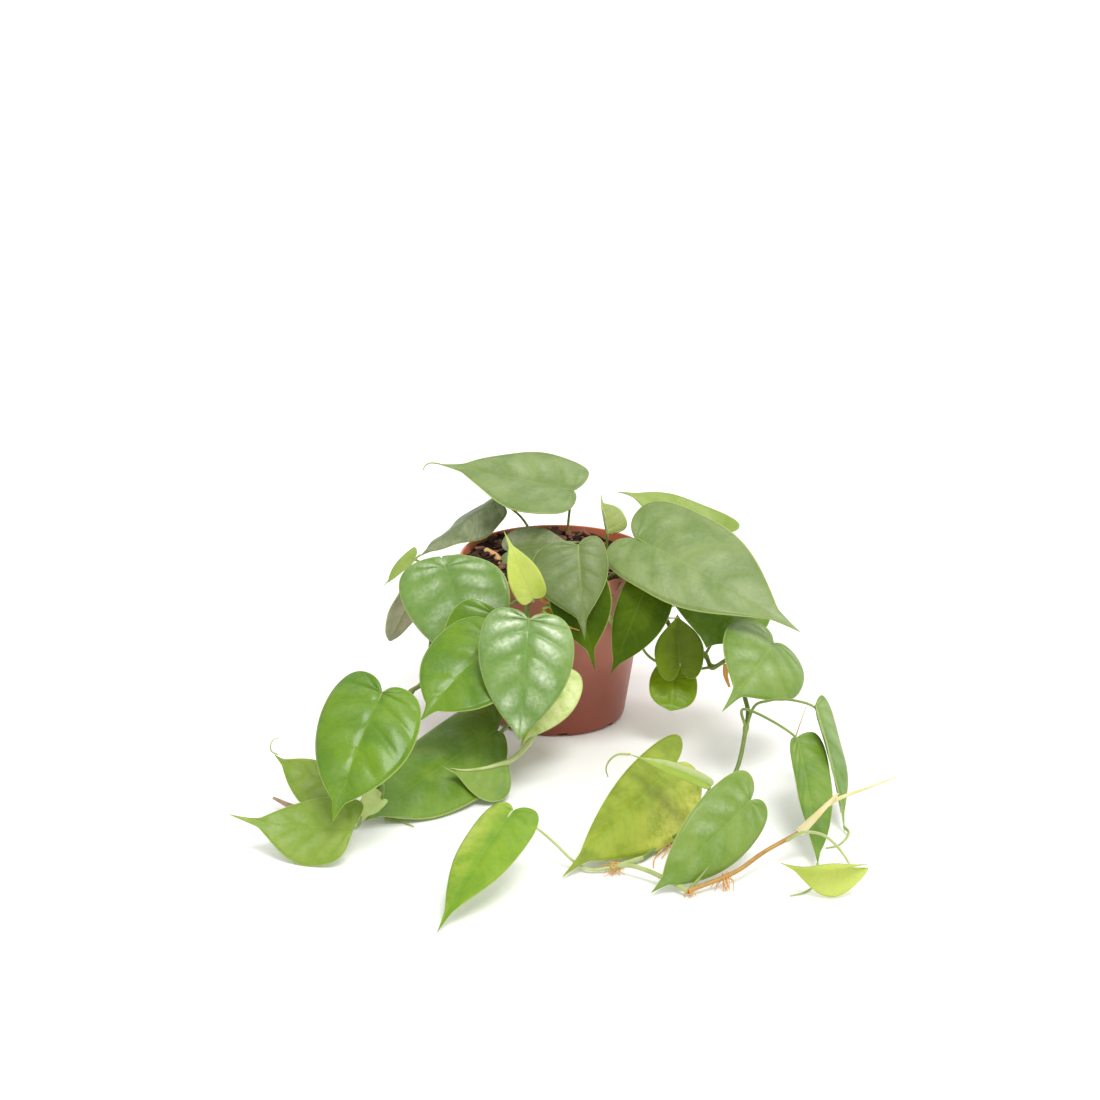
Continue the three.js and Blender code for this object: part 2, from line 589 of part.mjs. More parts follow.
// Soil: uneven from bark chips, with a plain hole for each stem and stalk that stands in it
let seed = 7;
const random = () => {
  seed = (seed * 16807) % 2147483647;
  return seed / 2147483647;
};
const relief = (x, y) =>
  SOIL_RELIEF * (0.5 * Math.sin(x * 0.21 + 1) * Math.cos(y * 0.17) + 0.3 * Math.sin(x * 0.47 + y * 0.39));
const innerAt = (z) => innerFoot + ((bodyTop - POT_WALL - innerFoot) * (z - 4.2)) / (bandFoot - 5.7) - GAP;
const soilFoot = POT_WALL + GAP;
const soilShoulder = SOIL_LEVEL - 3;
const soilProfile = [[0, soilFoot], [innerFoot - 3.2, soilFoot], [innerAt(4.8), 4.8]];
soilProfile.push([innerAt(soilShoulder) - 0.2, soilShoulder]);
const soilRings = [52, 42, 31, 20, 10];
soilRings.forEach((radius) => soilProfile.push([radius, SOIL_LEVEL]));
soilProfile.push([0, SOIL_LEVEL]);
const soilShape = new THREE.LatheGeometry(soilProfile.map((p) => new THREE.Vector2(p[0], p[1])), 32);
soilShape.rotateX(Math.PI / 2);
const soilPosition = soilShape.getAttribute("position");
for (let i = 0; i < soilPosition.count; i++) {
  if (soilPosition.getZ(i) > SOIL_LEVEL - 1)
    soilPosition.setZ(i, SOIL_LEVEL + relief(soilPosition.getX(i), soilPosition.getY(i)));
}
let soil = solidOf(soilShape);
for (let i = 0; i < BARK_CHIPS; i++) {
  const reach = 50 * Math.sqrt(random());
  const angle = 2 * Math.PI * random();
  const [x, y] = [reach * Math.cos(angle), reach * Math.sin(angle)];
  const chip = new THREE.BoxGeometry(6 + 8 * random(), 4 + 4 * random(), 2.5 + random());
  chip.rotateX(0.5 * random() - 0.25).rotateY(0.6 * random() - 0.3).rotateZ(Math.PI * random());
  chip.translate(x, y, SOIL_LEVEL + relief(x, y));
  soil = soil.add(solidOf(chip));
}
const holeRadius = STALK_RADIUS + GAP;
for (const { points } of stalks) {
  const [x, y, z] = points[0];
  if (z !== ROOTED_TO) continue;
  const path = [[x, y, z - 0.4], ...points.slice(1)];
  soil = soil.subtract(rod(path, holeRadius, holeRadius, 6, points.length + 2));
}
const stub = SHOOTS.old_stub;
soil = soil.subtract(rod(stub.points, stub.radii[0] + GAP, stub.radii[1] + GAP, 6, 6));
for (const stem of grownStems) soil = soil.subtract(stem);
addMesh("soil", largest(soil), BARK_BROWN);

export default philodendron;
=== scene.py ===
"""A heartleaf philodendron in a nursery pot: the looks of every piece, over its CAD solids."""
import math
import random

import bmesh
import bpy
from mathutils import Euler, Matrix, Vector, noise


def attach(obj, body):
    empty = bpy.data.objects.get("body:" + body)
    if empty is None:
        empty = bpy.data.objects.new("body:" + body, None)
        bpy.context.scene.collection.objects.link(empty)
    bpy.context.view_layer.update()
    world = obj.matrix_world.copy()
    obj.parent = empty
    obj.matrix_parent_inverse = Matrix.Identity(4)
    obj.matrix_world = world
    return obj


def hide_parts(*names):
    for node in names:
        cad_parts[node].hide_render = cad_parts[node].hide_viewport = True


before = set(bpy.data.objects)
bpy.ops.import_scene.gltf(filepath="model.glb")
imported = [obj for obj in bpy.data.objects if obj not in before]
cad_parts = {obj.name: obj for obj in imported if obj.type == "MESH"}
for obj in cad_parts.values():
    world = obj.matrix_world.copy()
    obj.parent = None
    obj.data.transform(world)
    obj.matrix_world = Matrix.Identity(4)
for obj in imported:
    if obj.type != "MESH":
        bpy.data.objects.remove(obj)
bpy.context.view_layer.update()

# Camera. It stands in front of the plant, a little above it, and looks down on the trailing
# stems. The aim is the point behind the middle of the picture. Lengths are metres.
CAMERA_AIM = Vector((-0.0037, 0, 0.108))
CAMERA_DISTANCE = 1.8
CAMERA_PITCH = math.radians(18.8)
CAMERA_CLIP = 0.05
SENSOR_WIDTH = 36
FOCAL_LENGTH = 94.73
camera_data = bpy.data.cameras.new("camera")
camera_data.sensor_width = SENSOR_WIDTH
camera_data.lens = FOCAL_LENGTH
camera_data.clip_start = CAMERA_CLIP
camera = bpy.data.objects.new("camera", camera_data)
camera.rotation_euler = (math.pi / 2 - CAMERA_PITCH, 0, 0)
camera_way = Vector((0, -math.cos(CAMERA_PITCH), math.sin(CAMERA_PITCH)))
camera.location = CAMERA_AIM + CAMERA_DISTANCE * camera_way
bpy.context.scene.collection.objects.link(camera)
bpy.context.scene.camera = camera

# Pot. A thin tapered shell of injection moulded plastic with a thicker band round its rim, a
# rounded foot and drainage slots in the foot's edge. Here and below, sizes are millimetres,
# and the scales of spots and clouds are counts to the metre.
MM = 0.001
POT_PROFILE = [
    (0, 0), (40, 0), (41.6, 0.4), (42.7, 1.4), (43.5, 3.8), (58, 95), (59.5, 95.7), (59.75, 96.4),
    (60, 104.2), (59.7, 104.8), (59.2, 105), (58.6, 105), (58.2, 104.7), (56.7, 94.5), (42.2, 4.2),
    (39.6, 1.3), (0, 1.3),
]
POT_TURNS = 120
POT_SHARP_ANGLE = 40
INNER_WALL_FROM = 50
DRAIN_SLOTS = 8
SLOT_SIZE = (8, 7, 3.6)
SLOT_PLACE = (43.5, 0, 0.6)
SLOT_OFFSET = 0.13
# Painted light on the pot: its colour runs up from a darker foot, which is painted shade, to a paler,
# pinker band, which is a painted sheen.
SHADE_SHEEN_EDGES = (0.025, 0.1)
SHADE_SHEEN_CLOUDS = 40
SHADE_SHEEN_RAGGEDNESS = 0.02
POT_CLOUDS = 28
POT_BUMP = 0.12
CLOUD_EDGES = (0.35, 0.65)
SPECK_EDGES = (0.62, 0.72)
SPECKS_PER_CLOUD = 9
GRAIN_DEPTH = 0.0006


def add_node(tree, kind, inputs=None, **settings):
    """A shader node with its settings made, and its inputs set or linked."""
    node = tree.nodes.new(kind)
    for name, value in settings.items():
        setattr(node, name, value)
    for name, value in (inputs or {}).items():
        if isinstance(value, bpy.types.NodeSocket):
            tree.links.new(value, node.inputs[name])
        else:
            node.inputs[name].default_value = value
    return node


def math_node(tree, operation, *values):
    """The result of one sum on numbers or sockets."""
    return add_node(tree, "ShaderNodeMath", dict(enumerate(values)), operation=operation).outputs[0]


def times(tree, first, *others):
    """The product of numbers or sockets."""
    for other in others:
        first = math_node(tree, "MULTIPLY", first, other)
    return first


def times_plus(tree, value, factor, more):
    """A value times a factor, with more added to it."""
    return math_node(tree, "MULTIPLY_ADD", value, factor, more)


def turned_round(tree, mask):
    """A mask with its 0 and 1 changed over."""
    return math_node(tree, "SUBTRACT", 1.0, mask)


def mix_colors(tree, factor, first, second):
    """Two colours mixed by a factor. A Mix node has its colours at 6 and 7, the result at 2."""
    sockets = {0: factor, 6: first, 7: second}
    return add_node(tree, "ShaderNodeMix", sockets, data_type="RGBA").outputs[2]


def ramp(tree, value, low, high):
    """0 below low, 1 above high, smooth between them."""
    return add_node(
        tree, "ShaderNodeMapRange",
        {"Value": value, "From Min": low, "From Max": high},
        interpolation_type="SMOOTHSTEP",
    ).outputs[0]


def spots(tree, place, scale, detail=3, roughness=0.55):
    """A cloudy value of about 0.3 to 0.7 that changes from place to place."""
    return add_node(
        tree, "ShaderNodeTexNoise",
        {"Vector": place, "Scale": scale, "Detail": detail, "Roughness": roughness},
    ).outputs[0]


def new_group(name, inputs, outputs):
    """A shader node group with its sockets, and its input and output nodes."""
    group = bpy.data.node_groups.new(name, "ShaderNodeTree")
    for title, kind in inputs:
        group.interface.new_socket(title, in_out="INPUT", socket_type=kind)
    for title, kind in outputs:
        group.interface.new_socket(title, in_out="OUTPUT", socket_type=kind)
    return group, group.nodes.new("NodeGroupInput").outputs, group.nodes.new("NodeGroupOutput").inputs


COLOR = "NodeSocketColor"
NUMBER = "NodeSocketFloat"
VECTOR = "NodeSocketVector"


def cloudy_group():
    """Two colours in soft clouds with fine dark specks, and the small bumps that go with them."""
    group, given, put = new_group(
        "cloudy",
        [("Color", COLOR), ("Second", COLOR), ("Speck", COLOR), ("Scale", NUMBER), ("Specks", NUMBER),
         ("Bump", NUMBER)],
        [("Color", COLOR), ("Normal", VECTOR)],
    )
    place = add_node(group, "ShaderNodeTexCoord").outputs["Object"]
    cloud = ramp(group, spots(group, place, given["Scale"], 4), *CLOUD_EDGES)
    color = mix_colors(group, cloud, given["Color"], given["Second"])
    grain = spots(group, place, times(group, given["Scale"], SPECKS_PER_CLOUD), 5, 0.7)
    speck = times(group, ramp(group, grain, *SPECK_EDGES), given["Specks"])
    color = mix_colors(group, speck, color, given["Speck"])
    group.links.new(color, put["Color"])
    bump = add_node(
        group, "ShaderNodeBump", {"Strength": given["Bump"], "Distance": GRAIN_DEPTH, "Height": grain}
    )
    group.links.new(bump.outputs[0], put["Normal"])
    return group


CLOUDY = cloudy_group()


def new_material(name, group, group_inputs, **surface):
    """A material whose colour and bumps come from a group, and the rest from its own values."""
    material = bpy.data.materials.new(name)
    material.use_nodes = True
    tree = material.node_tree
    shader = tree.nodes["Principled BSDF"]
    pattern = tree.nodes.new("ShaderNodeGroup")
    pattern.node_tree = group
    for title, value in group_inputs.items():
        pattern.inputs[title].default_value = value
    tree.links.new(pattern.outputs["Color"], shader.inputs["Base Color"])
    tree.links.new(pattern.outputs["Normal"], shader.inputs["Normal"])
    for title, value in surface.items():
        shader.inputs[title.replace("_", " ")].default_value = value
    return material


def cloudy_material(name, color, second, speck, scale=60, specks=0.4, bump=0.3, **surface):
    """A cloudy, specked material from three colours."""
    return new_material(
        name, CLOUDY,
        {"Color": (*color, 1), "Second": (*second, 1), "Speck": (*speck, 1), "Scale": scale,
         "Specks": specks, "Bump": bump},
        **surface,
    )


def add_piece(name, mesh, materials, nodes=()):
    """Makes an object of a mesh that is already in its place, hangs it on the root body, and hides the
    CAD nodes it stands in for.
    """
    for material in materials:
        mesh.materials.append(material)
    piece = bpy.data.objects.new(name, mesh)
    bpy.context.scene.collection.objects.link(piece)
    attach(piece, "root")
    if nodes:
        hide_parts(*nodes)
    return piece


def mesh_of(name, shape, sharp=None):
    """A bmesh in millimetres made a smooth mesh in metres, with hard edges above a sharp angle."""
    bmesh.ops.scale(shape, vec=(MM, MM, MM), verts=shape.verts)
    mesh = bpy.data.meshes.new(name)
    shape.to_mesh(mesh)
    shape.free()
    mesh.shade_smooth()
    if sharp is not None:
        mesh.set_sharp_from_angle(angle=math.radians(sharp))
    return mesh


def spun(profile, turns):
    """A profile of (radius, height) points turned round the vertical axis into a closed skin."""
    shape = bmesh.new()
    corners = [shape.verts.new((radius, 0, height)) for radius, height in profile]
    edges = [shape.edges.new(pair) for pair in zip(corners, corners[1:])]
    bmesh.ops.spin(
        shape, geom=corners + edges, cent=(0, 0, 0), axis=(0, 0, 1), angle=2 * math.pi,
        steps=turns, use_merge=True,
    )
    bmesh.ops.remove_doubles(shape, verts=shape.verts, dist=0.001)
    bmesh.ops.recalc_face_normals(shape, faces=shape.faces)
    return shape


def cut(mesh, cutter):
    """A mesh with the volume of another one taken away."""
    whole = bpy.data.objects.new("whole", mesh)
    tool = bpy.data.objects.new("tool", cutter)
    for helper in (whole, tool):
        bpy.context.scene.collection.objects.link(helper)
    boolean = whole.modifiers.new("cut", "BOOLEAN")
    boolean.object = tool
    boolean.operation = "DIFFERENCE"
    bpy.context.view_layer.update()
    graph = bpy.context.evaluated_depsgraph_get()
    result = bpy.data.meshes.new_from_object(whole.evaluated_get(graph))
    for helper in (whole, tool):
        bpy.data.objects.remove(helper)
    return result


def pot_group():
    """Cloudy plastic in painted light: darker at the foot for painted shade, paler and pinker towards the
    rim for a painted sheen.
    """
    group, given, put = new_group(
        "pot plastic", [("Foot", COLOR), ("Band", COLOR), ("Speck", COLOR)],
        [("Color", COLOR), ("Normal", VECTOR)],
    )
    place = add_node(group, "ShaderNodeTexCoord").outputs["Object"]
    height = add_node(group, "ShaderNodeSeparateXYZ", {0: place}).outputs[2]
    # Painted shade at the foot and painted sheen towards the rim, blended by height with ragged edges.
    shade_to_sheen = times_plus(group, spots(group, place, SHADE_SHEEN_CLOUDS), SHADE_SHEEN_RAGGEDNESS, height)
    color = mix_colors(group, ramp(group, shade_to_sheen, *SHADE_SHEEN_EDGES), given["Foot"], given["Band"])
    darker = mix_colors(group, 0.15, color, given["Speck"])
    cloudy = add_node(
        group, "ShaderNodeGroup",
        {"Color": color, "Second": darker, "Speck": given["Speck"], "Scale": POT_CLOUDS,
         "Specks": 0.35, "Bump": POT_BUMP},
        node_tree=CLOUDY,
    )
    for title in ("Color", "Normal"):
        group.links.new(cloudy.outputs[title], put[title])
    return group


# Foot is the colour of the painted shade and Band the colour of the painted sheen.
POT_OUTSIDE = new_material(
    "pot outside", pot_group(),
    {"Foot": (0.27, 0.062, 0.035, 1), "Band": (0.64, 0.235, 0.17, 1), "Speck": (0.14, 0.04, 0.025, 1)},
    Roughness=0.45, Specular_IOR_Level=0.35, Sheen_Weight=0.1, Sheen_Roughness=0.5,
)
# The inside wall is painted brighter and redder than the outside plastic: a painted glow of light shining
# through the thin wall.
POT_INSIDE_GLOW = cloudy_material(
    "pot inside", (0.66, 0.19, 0.09), (0.72, 0.23, 0.11), (0.3, 0.1, 0.05),
    scale=POT_CLOUDS, specks=0.3, bump=POT_BUMP, Roughness=0.5,
)
slots = bmesh.new()
for index in range(DRAIN_SLOTS):
    slot_box = bmesh.ops.create_cube(slots, size=1)["verts"]
    bmesh.ops.scale(slots, vec=SLOT_SIZE, verts=slot_box)
    bmesh.ops.translate(slots, vec=SLOT_PLACE, verts=slot_box)
    slot_turn = Matrix.Rotation((index + SLOT_OFFSET) * 2 * math.pi / DRAIN_SLOTS, 3, "Z")
    bmesh.ops.rotate(slots, cent=(0, 0, 0), matrix=slot_turn, verts=slot_box)
pot_mesh = cut(mesh_of("pot shell", spun(POT_PROFILE, POT_TURNS)), mesh_of("pot slots", slots))
# Inner faces high in the pot get the brighter inside colour, the painted glow.
for face in pot_mesh.polygons:
    outward = face.normal.x * face.center.x + face.normal.y * face.center.y
    face.material_index = 1 if outward < 0 and face.center.z > INNER_WALL_FROM * MM else 0
pot_mesh.shade_smooth()
pot_mesh.set_sharp_from_angle(angle=math.radians(POT_SHARP_ANGLE))
pot_mesh.name = "nursery pot"
add_piece("nursery_pot", pot_mesh, [POT_OUTSIDE, POT_INSIDE_GLOW], ["pot"])

# Soil. Coarse potting bark, loose, up to a little under the rim: an uneven dark bed with flat
# chips of bark lying on it every way, and small crumbs between them.
SOIL_LEVEL = 95.5
SOIL_RADIUS = 56.2
SOIL_RING_STEP = 2
SOIL_TURNS = 90
SOIL_FOOT = [(55.8, 90), (42, 5), (40, 2), (0, 2)]
BED_SINK = 0.6
BED_SWELLS = (2.2, 0.12)
BED_LUMPS = (1.3, 0.4)
HEAP_RISE = 7
HEAP_WAY = (-0.5, 0.85)
HEAP_FROM = 4
HEAP_SLOPE = 30
CHIP_COUNT = 420
CHIP_SIZES = ((3, 11), (2, 5.5), (1, 2.8))
CHIP_BEVEL = 0.35
CHIP_SHARP_ANGLE = 35
CRUMB_COUNT = 500
CRUMB_SIZE = (1, 2.6)
GRAIN_REACH = 53
GRAIN_RAGGEDNESS = (0.72, 1.15)
GRAIN_TILT = (-0.5, 0.5)
GRAIN_LIFT = (0, 1.6)
SOIL_SKINS = {
    "soil bed": ((0.015, 0.009, 0.007), (0.035, 0.019, 0.013), (0.006, 0.005, 0.004)),
    "dark bark": ((0.045, 0.024, 0.017), (0.09, 0.042, 0.028), (0.02, 0.012, 0.009)),
    "pale bark": ((0.2, 0.085, 0.055), (0.3, 0.15, 0.1), (0.08, 0.04, 0.025)),
}
SOIL_MATERIALS = [
    cloudy_material(
        name, *colors, scale=160, specks=0.8, bump=0.9, Roughness=0.9, Specular_IOR_Level=0.2,
    )
    for name, colors in SOIL_SKINS.items()
]
FRONT_CHIP_SKINS = (0, 1, 1, 2)
BACK_CHIP_SKINS = (1, 2, 2)
CRUMB_SKINS = (0, 0, 1)
BACK_FROM = 15


def soil_height(x, y):
    """The height of the bed at a place: it is rough, and heaped up to the rim at the back."""
    rough = 0
    for layer, (depth, fineness) in ((3, BED_SWELLS), (9, BED_LUMPS)):
        rough += depth * noise.noise(Vector((x, y, layer)) * fineness)
    back = (HEAP_WAY[1] * y + HEAP_WAY[0] * x - HEAP_FROM) / HEAP_SLOPE
    back = min(1, max(0, back))
    return SOIL_LEVEL - BED_SINK + rough + HEAP_RISE * back * back * (3 - 2 * back)


bed_profile = [(radius, SOIL_LEVEL) for radius in range(0, int(SOIL_RADIUS), SOIL_RING_STEP)]
soil = spun([*bed_profile, (SOIL_RADIUS, SOIL_LEVEL), *SOIL_FOOT], SOIL_TURNS)
for vertex in soil.verts:
    if vertex.co.z > SOIL_LEVEL - 1:
        vertex.co.z = soil_height(vertex.co.x, vertex.co.y)
chance = random.Random(11)
chip_edges = set()
for index in range(CHIP_COUNT + CRUMB_COUNT):
    reach = GRAIN_REACH * math.sqrt(chance.random())
    angle = 2 * math.pi * chance.random()
    x, y = reach * math.cos(angle), reach * math.sin(angle)
    if index < CHIP_COUNT:
        grain = bmesh.ops.create_cube(soil, size=1)["verts"]
        size = [chance.uniform(*span) for span in CHIP_SIZES]
        skins = FRONT_CHIP_SKINS if y < BACK_FROM else BACK_CHIP_SKINS
    else:
        grain = bmesh.ops.create_icosphere(soil, subdivisions=1, radius=0.5)["verts"]
        size = [chance.uniform(*CRUMB_SIZE)] * 3
        skins = CRUMB_SKINS
    bmesh.ops.scale(soil, vec=size, verts=grain)
    for vertex in grain:
        vertex.co *= chance.uniform(*GRAIN_RAGGEDNESS)
    tilt = Euler((chance.uniform(*GRAIN_TILT), chance.uniform(*GRAIN_TILT), chance.uniform(0, math.pi)))
    bmesh.ops.rotate(soil, cent=(0, 0, 0), matrix=tilt.to_matrix(), verts=grain)
    lift = soil_height(x, y) + chance.uniform(*GRAIN_LIFT)
    bmesh.ops.translate(soil, vec=(x, y, lift), verts=grain)
    skin = chance.choice(skins)
    grain_faces = {face for vertex in grain for face in vertex.link_faces}
    for face in grain_faces:
        face.material_index = skin
    if index < CHIP_COUNT:
        chip_edges.update(edge for face in grain_faces for edge in face.edges)
bmesh.ops.bevel(
    soil, geom=list(chip_edges), offset=CHIP_BEVEL, affect="EDGES", segments=1, profile=0.5,
    material=-1,
)
bark_mesh = mesh_of("potting bark", soil, CHIP_SHARP_ANGLE)
add_piece("potting_bark", bark_mesh, SOIL_MATERIALS, ["soil"])

# Stems. Green shoots about 3 mm thick that lean over the rim, hang down and creep over the
# floor. Each joint that carries a leaf is a little swollen, and some of them bear air roots.
RIGHT_STEM = [
    (26, -22, 80), (30, -30, 97), (41, -43, 108.5), (56, -50, 100), (75, -45, 66), (91.6, -40, 53.4),
    (95.8, -45, 47.4), (106.4, -50, 54.6), (112, -63, 50), (113.3, -80, 43.5), (114.8, -95, 37.9),
    (113.1, -105, 31.7), (107.8, -120, 13.5), (97, -142, 4.5), (80, -175, 3.2), (64, -204, 4.5),
    (48, -226, 3), (31, -239, 3.2), (38, -243, 6.5), (51, -252, 6.8), (71.5, -270, 3.4),
    (98, -255.3, 8), (115.5, -239.2, 13), (136, -224.4, 18),
]
MIDDLE_STEM = [
    (-8, -30, 80), (-10, -40, 97), (-13.5, -57, 108.5), (-16.5, -67, 103), (-17.5, -71, 92),
    (-15, -71, 74), (-12, -73, 56), (-20, -80, 36), (-36, -92, 20), (-52, -106, 6),
]
LEFT_STEM = [
    (-42, -14, 80), (-46, -15, 96), (-54, -17, 108.6), (-62, -19, 108), (-70, -24, 96),
    (-75, -38, 77), (-77, -62, 61), (-81.1, -85, 52), (-86.7, -95, 50.8), (-96, -122, 38),
    (-104, -150, 18), (-113, -170, 5), (-128, -168, 3), (-145, -163, 3.4),
]
RIGHT_JOINTS = [RIGHT_STEM[n] for n in (3, 5, 6, 7, 11, 14, 15, 17, 20)]
MIDDLE_JOINTS = [MIDDLE_STEM[n] for n in (3, 4, 6, 7, 8)]
LEFT_JOINTS = [LEFT_STEM[n] for n in (4, 8, 10, 11, 12)]
PALE_FROM = 16
BROWN_FROM = 20
STEM_RADIUS = 1.5
GREEN_RADII = (STEM_RADIUS, STEM_RADIUS * 0.9)
PALE_RADII = (1.35, 1.35)
BROWN_RADII = (1.3, 1.2)
JOINT_SWELLING = 0.4
JOINT_REACH = 2.2
PATH_STEPS = 10
ROOT_STEPS = 5
ROOT_RADII = (0.6, 0.3)
TUFT_RADII = (0.45, 0.2)
TUFT_CURL = (-0.35, 0.35)
TUFT_END_HEIGHT = 0.7
AIR_ROOTS = {
    "root_long": [(64, -204, 4.5), (60, -214, 3.4), (55, -223, 1.2), (54, -234, 0.9)],
    "root_short": [(63, -206, 4), (62, -214, 2), (59, -222, 0.9)],
}
ROOT_TUFTS = {
    "root_tuft_front": ((31, -239, 4.2), 18, (3, 9)),
    "root_tuft_long": ((63, -206, 3.4), 7, (5, 14)),
    "root_tuft_brown": ((92, -258, 5.5), 14, (3, 8)),
    "root_tuft_corner": ((71.5, -269.5, 3), 6, (2, 5)),
}


def smooth_path(points, steps=PATH_STEPS):
    """A centripetal curve through points, as a list of places along it."""
    places = [Vector(point) for point in points]
    before = 2 * places[0] - places[1]
    after = 2 * places[-1] - places[-2]
    row = [before, *places, after]
    path = []
    for start, first, second, end in zip(row, row[1:], row[2:], row[3:]):
        gaps = [math.sqrt((b - a).length) for a, b in ((start, first), (first, second), (second, end))]
        out = (first - start) / gaps[0] - (second - start) / (gaps[0] + gaps[1])
        out = (out + (second - first) / gaps[1]) * gaps[1]
        back = (second - first) / gaps[1] - (end - first) / (gaps[1] + gaps[2])
        back = (back + (end - second) / gaps[2]) * gaps[1]
        for step in range(steps):
            t = step / steps
            bow = (2 * first - 2 * second + out + back) * t ** 3
            bow += (3 * second - 3 * first - 2 * out - back) * t ** 2
            path.append(first + out * t + bow)
    path.append(places[-1])
    return path


def tube(name, path, radii):
    """A mesh tube along a path in millimetres, with a radius at each of its places."""
    curve = bpy.data.curves.new(name, "CURVE")
    curve.dimensions = "3D"
    curve.bevel_depth = MM
    curve.bevel_resolution = 2
    curve.use_fill_caps = True
    spline = curve.splines.new("POLY")
    spline.points.add(len(path) - 1)
    for point, place, radius in zip(spline.points, path, radii):
        point.co = (*(place * MM), 1)
        point.radius = radius
    drawn = bpy.data.objects.new(name, curve)
    mesh = bpy.data.meshes.new_from_object(drawn)
    bpy.data.objects.remove(drawn)
    bpy.data.curves.remove(curve)
    mesh.name = name
    mesh.shade_smooth()
    return mesh


def tapered(path, start, end):
    """Radii that run evenly from start to end along a path."""
    last = len(path) - 1
    return [start + (end - start) * index / last for index in range(len(path))]


def stem_tube(name, points, joints, start, end):
    """A stem: a tapered tube with a swelling at each joint."""
    path = smooth_path(points)
    radii = []
    for place, plain in zip(path, tapered(path, start, end)):
        near = min((place - Vector(joint)).length for joint in joints)
        radii.append(plain * (1 + JOINT_SWELLING * math.exp(-(near / JOINT_REACH) ** 2)))
    return tube(name, path, radii)


STEM_GREEN = cloudy_material(
    "stem green", (0.16, 0.23, 0.045), (0.22, 0.3, 0.06), (0.13, 0.08, 0.03),
    scale=90, specks=0.5, bump=0.25, Roughness=0.45,
)
STEM_BROWN = cloudy_material(
    "stem orange brown", (0.38, 0.19, 0.035), (0.5, 0.28, 0.07), (0.18, 0.07, 0.02),
    scale=90, specks=0.6, bump=0.3, Roughness=0.5,
)
STEM_PALE = cloudy_material(
    "stem pale green", (0.36, 0.44, 0.13), (0.48, 0.54, 0.22), (0.3, 0.24, 0.08),
    scale=90, specks=0.4, bump=0.25, Roughness=0.45,
)
ROOT_ORANGE = cloudy_material(
    "air root", (0.68, 0.31, 0.07), (0.78, 0.45, 0.13), (0.3, 0.12, 0.03),
    scale=200, specks=0.6, bump=0.5, Roughness=0.8,
)
right_green = stem_tube("right stem", RIGHT_STEM[:PALE_FROM + 1], RIGHT_JOINTS, *GREEN_RADII)
add_piece("right_stem_green", right_green, [STEM_GREEN], ["right_stem"])
right_pale = stem_tube("pale stem", RIGHT_STEM[PALE_FROM:BROWN_FROM + 1], RIGHT_JOINTS, *PALE_RADII)
add_piece("right_stem_pale", right_pale, [STEM_PALE], ["right_stem"])
right_brown = stem_tube("brown stem", RIGHT_STEM[BROWN_FROM:], RIGHT_JOINTS, *BROWN_RADII)
add_piece("right_stem_brown", right_brown, [STEM_BROWN], ["right_stem"])
middle_green = stem_tube("middle stem", MIDDLE_STEM, MIDDLE_JOINTS, *GREEN_RADII)
add_piece("middle_stem_green", middle_green, [STEM_GREEN], ["middle_stem"])
left_green = stem_tube("left stem", LEFT_STEM, LEFT_JOINTS, *GREEN_RADII)
add_piece("left_stem_green", left_green, [STEM_GREEN], ["left_stem"])
for name, points in AIR_ROOTS.items():
    path = smooth_path(points, ROOT_STEPS)
    add_piece(name, tube(name, path, tapered(path, *ROOT_RADII)), [ROOT_ORANGE])
chance = random.Random(5)
for name, (start, count, reach) in ROOT_TUFTS.items():
    tuft = bmesh.new()
    for index in range(count):
        length = chance.uniform(*reach)
        angle = math.pi * chance.uniform(0, 2)
        way = Vector((math.cos(angle), math.sin(angle), 0)) * length
        curl = Vector((-way.y, way.x, 0)) * chance.uniform(*TUFT_CURL)
        start_place = Vector(start)
        middle = start_place + 0.5 * way + curl
        middle.z = chance.uniform(0.5, 1.5) * start_place.z
        end = start_place + way
        end.z = TUFT_END_HEIGHT
        path = smooth_path([start_place, middle, end], ROOT_STEPS)
        root_mesh = tube("one root", path, tapered(path, *TUFT_RADII))
        tuft.from_mesh(root_mesh)
        bpy.data.meshes.remove(root_mesh)
    bmesh.ops.scale(tuft, vec=[1 / MM] * 3, verts=tuft.verts)
    add_piece(name, mesh_of(name, tuft), [ROOT_ORANGE])

# Leaves. Each is a heart shaped blade on a thin stalk. The blade is thin and waxy, with a
# sunken midrib, side veins that curve to its margin, and a fine pale rim; its back is paler and
# the midrib stands out from it. The stalk is a tapered green tube that runs on as the midrib.
BLADE_THICKNESS = 0.5
STALK_RADIUS = 0.95
BLADE_ROWS = 56
BLADE_COLUMNS = 24
COLUMN_SPREAD = 1.3
MARGIN_STEPS = 24
VEIN_PAIRS = 7
VEIN_LAG = 1.7
VEIN_ARCH = 1.5
FLAT_MAP_SIZE = 100
GROOVE_WIDTH = 2.2
RIM_WAVES = 2.5
RIB_DEPTHS = ((0, 0.55), (0.09, 0.75), (0.3, 0.75), (0.6, 0.6), (0.85, 0.45))
RIB_START = 0.75
RIB_THINNING = 0.8
LEAF_CLOUDS = 45
LEAF_GRAINS = 420
SKIN_GRAINS = 900
PATCH_BLOTCHES = 75
# The next number is the cloud scale of the painted sheen, whitish highlights painted onto the leaves.
PAINTED_SHEEN_CLOUDS = 30
STREAK_STRETCH = (5, 46, 1)
HALF_CLOUDS = (0.38, 0.62)
MIDRIB_EDGES = (0.002, 0.0085)
RIM_EDGES = (0.962, 0.998)
# Whitish colour of the painted sheen, highlights painted onto the wax.
PAINTED_SHEEN_WHITE = (0.7, 0.8, 0.57, 1)
LEAF_BUMP = 0.35
SKIN_DEPTH = 0.0004
SOFT_LIGHT = {"Subsurface_Weight": 0.1, "Subsurface_Scale": 0.0012}


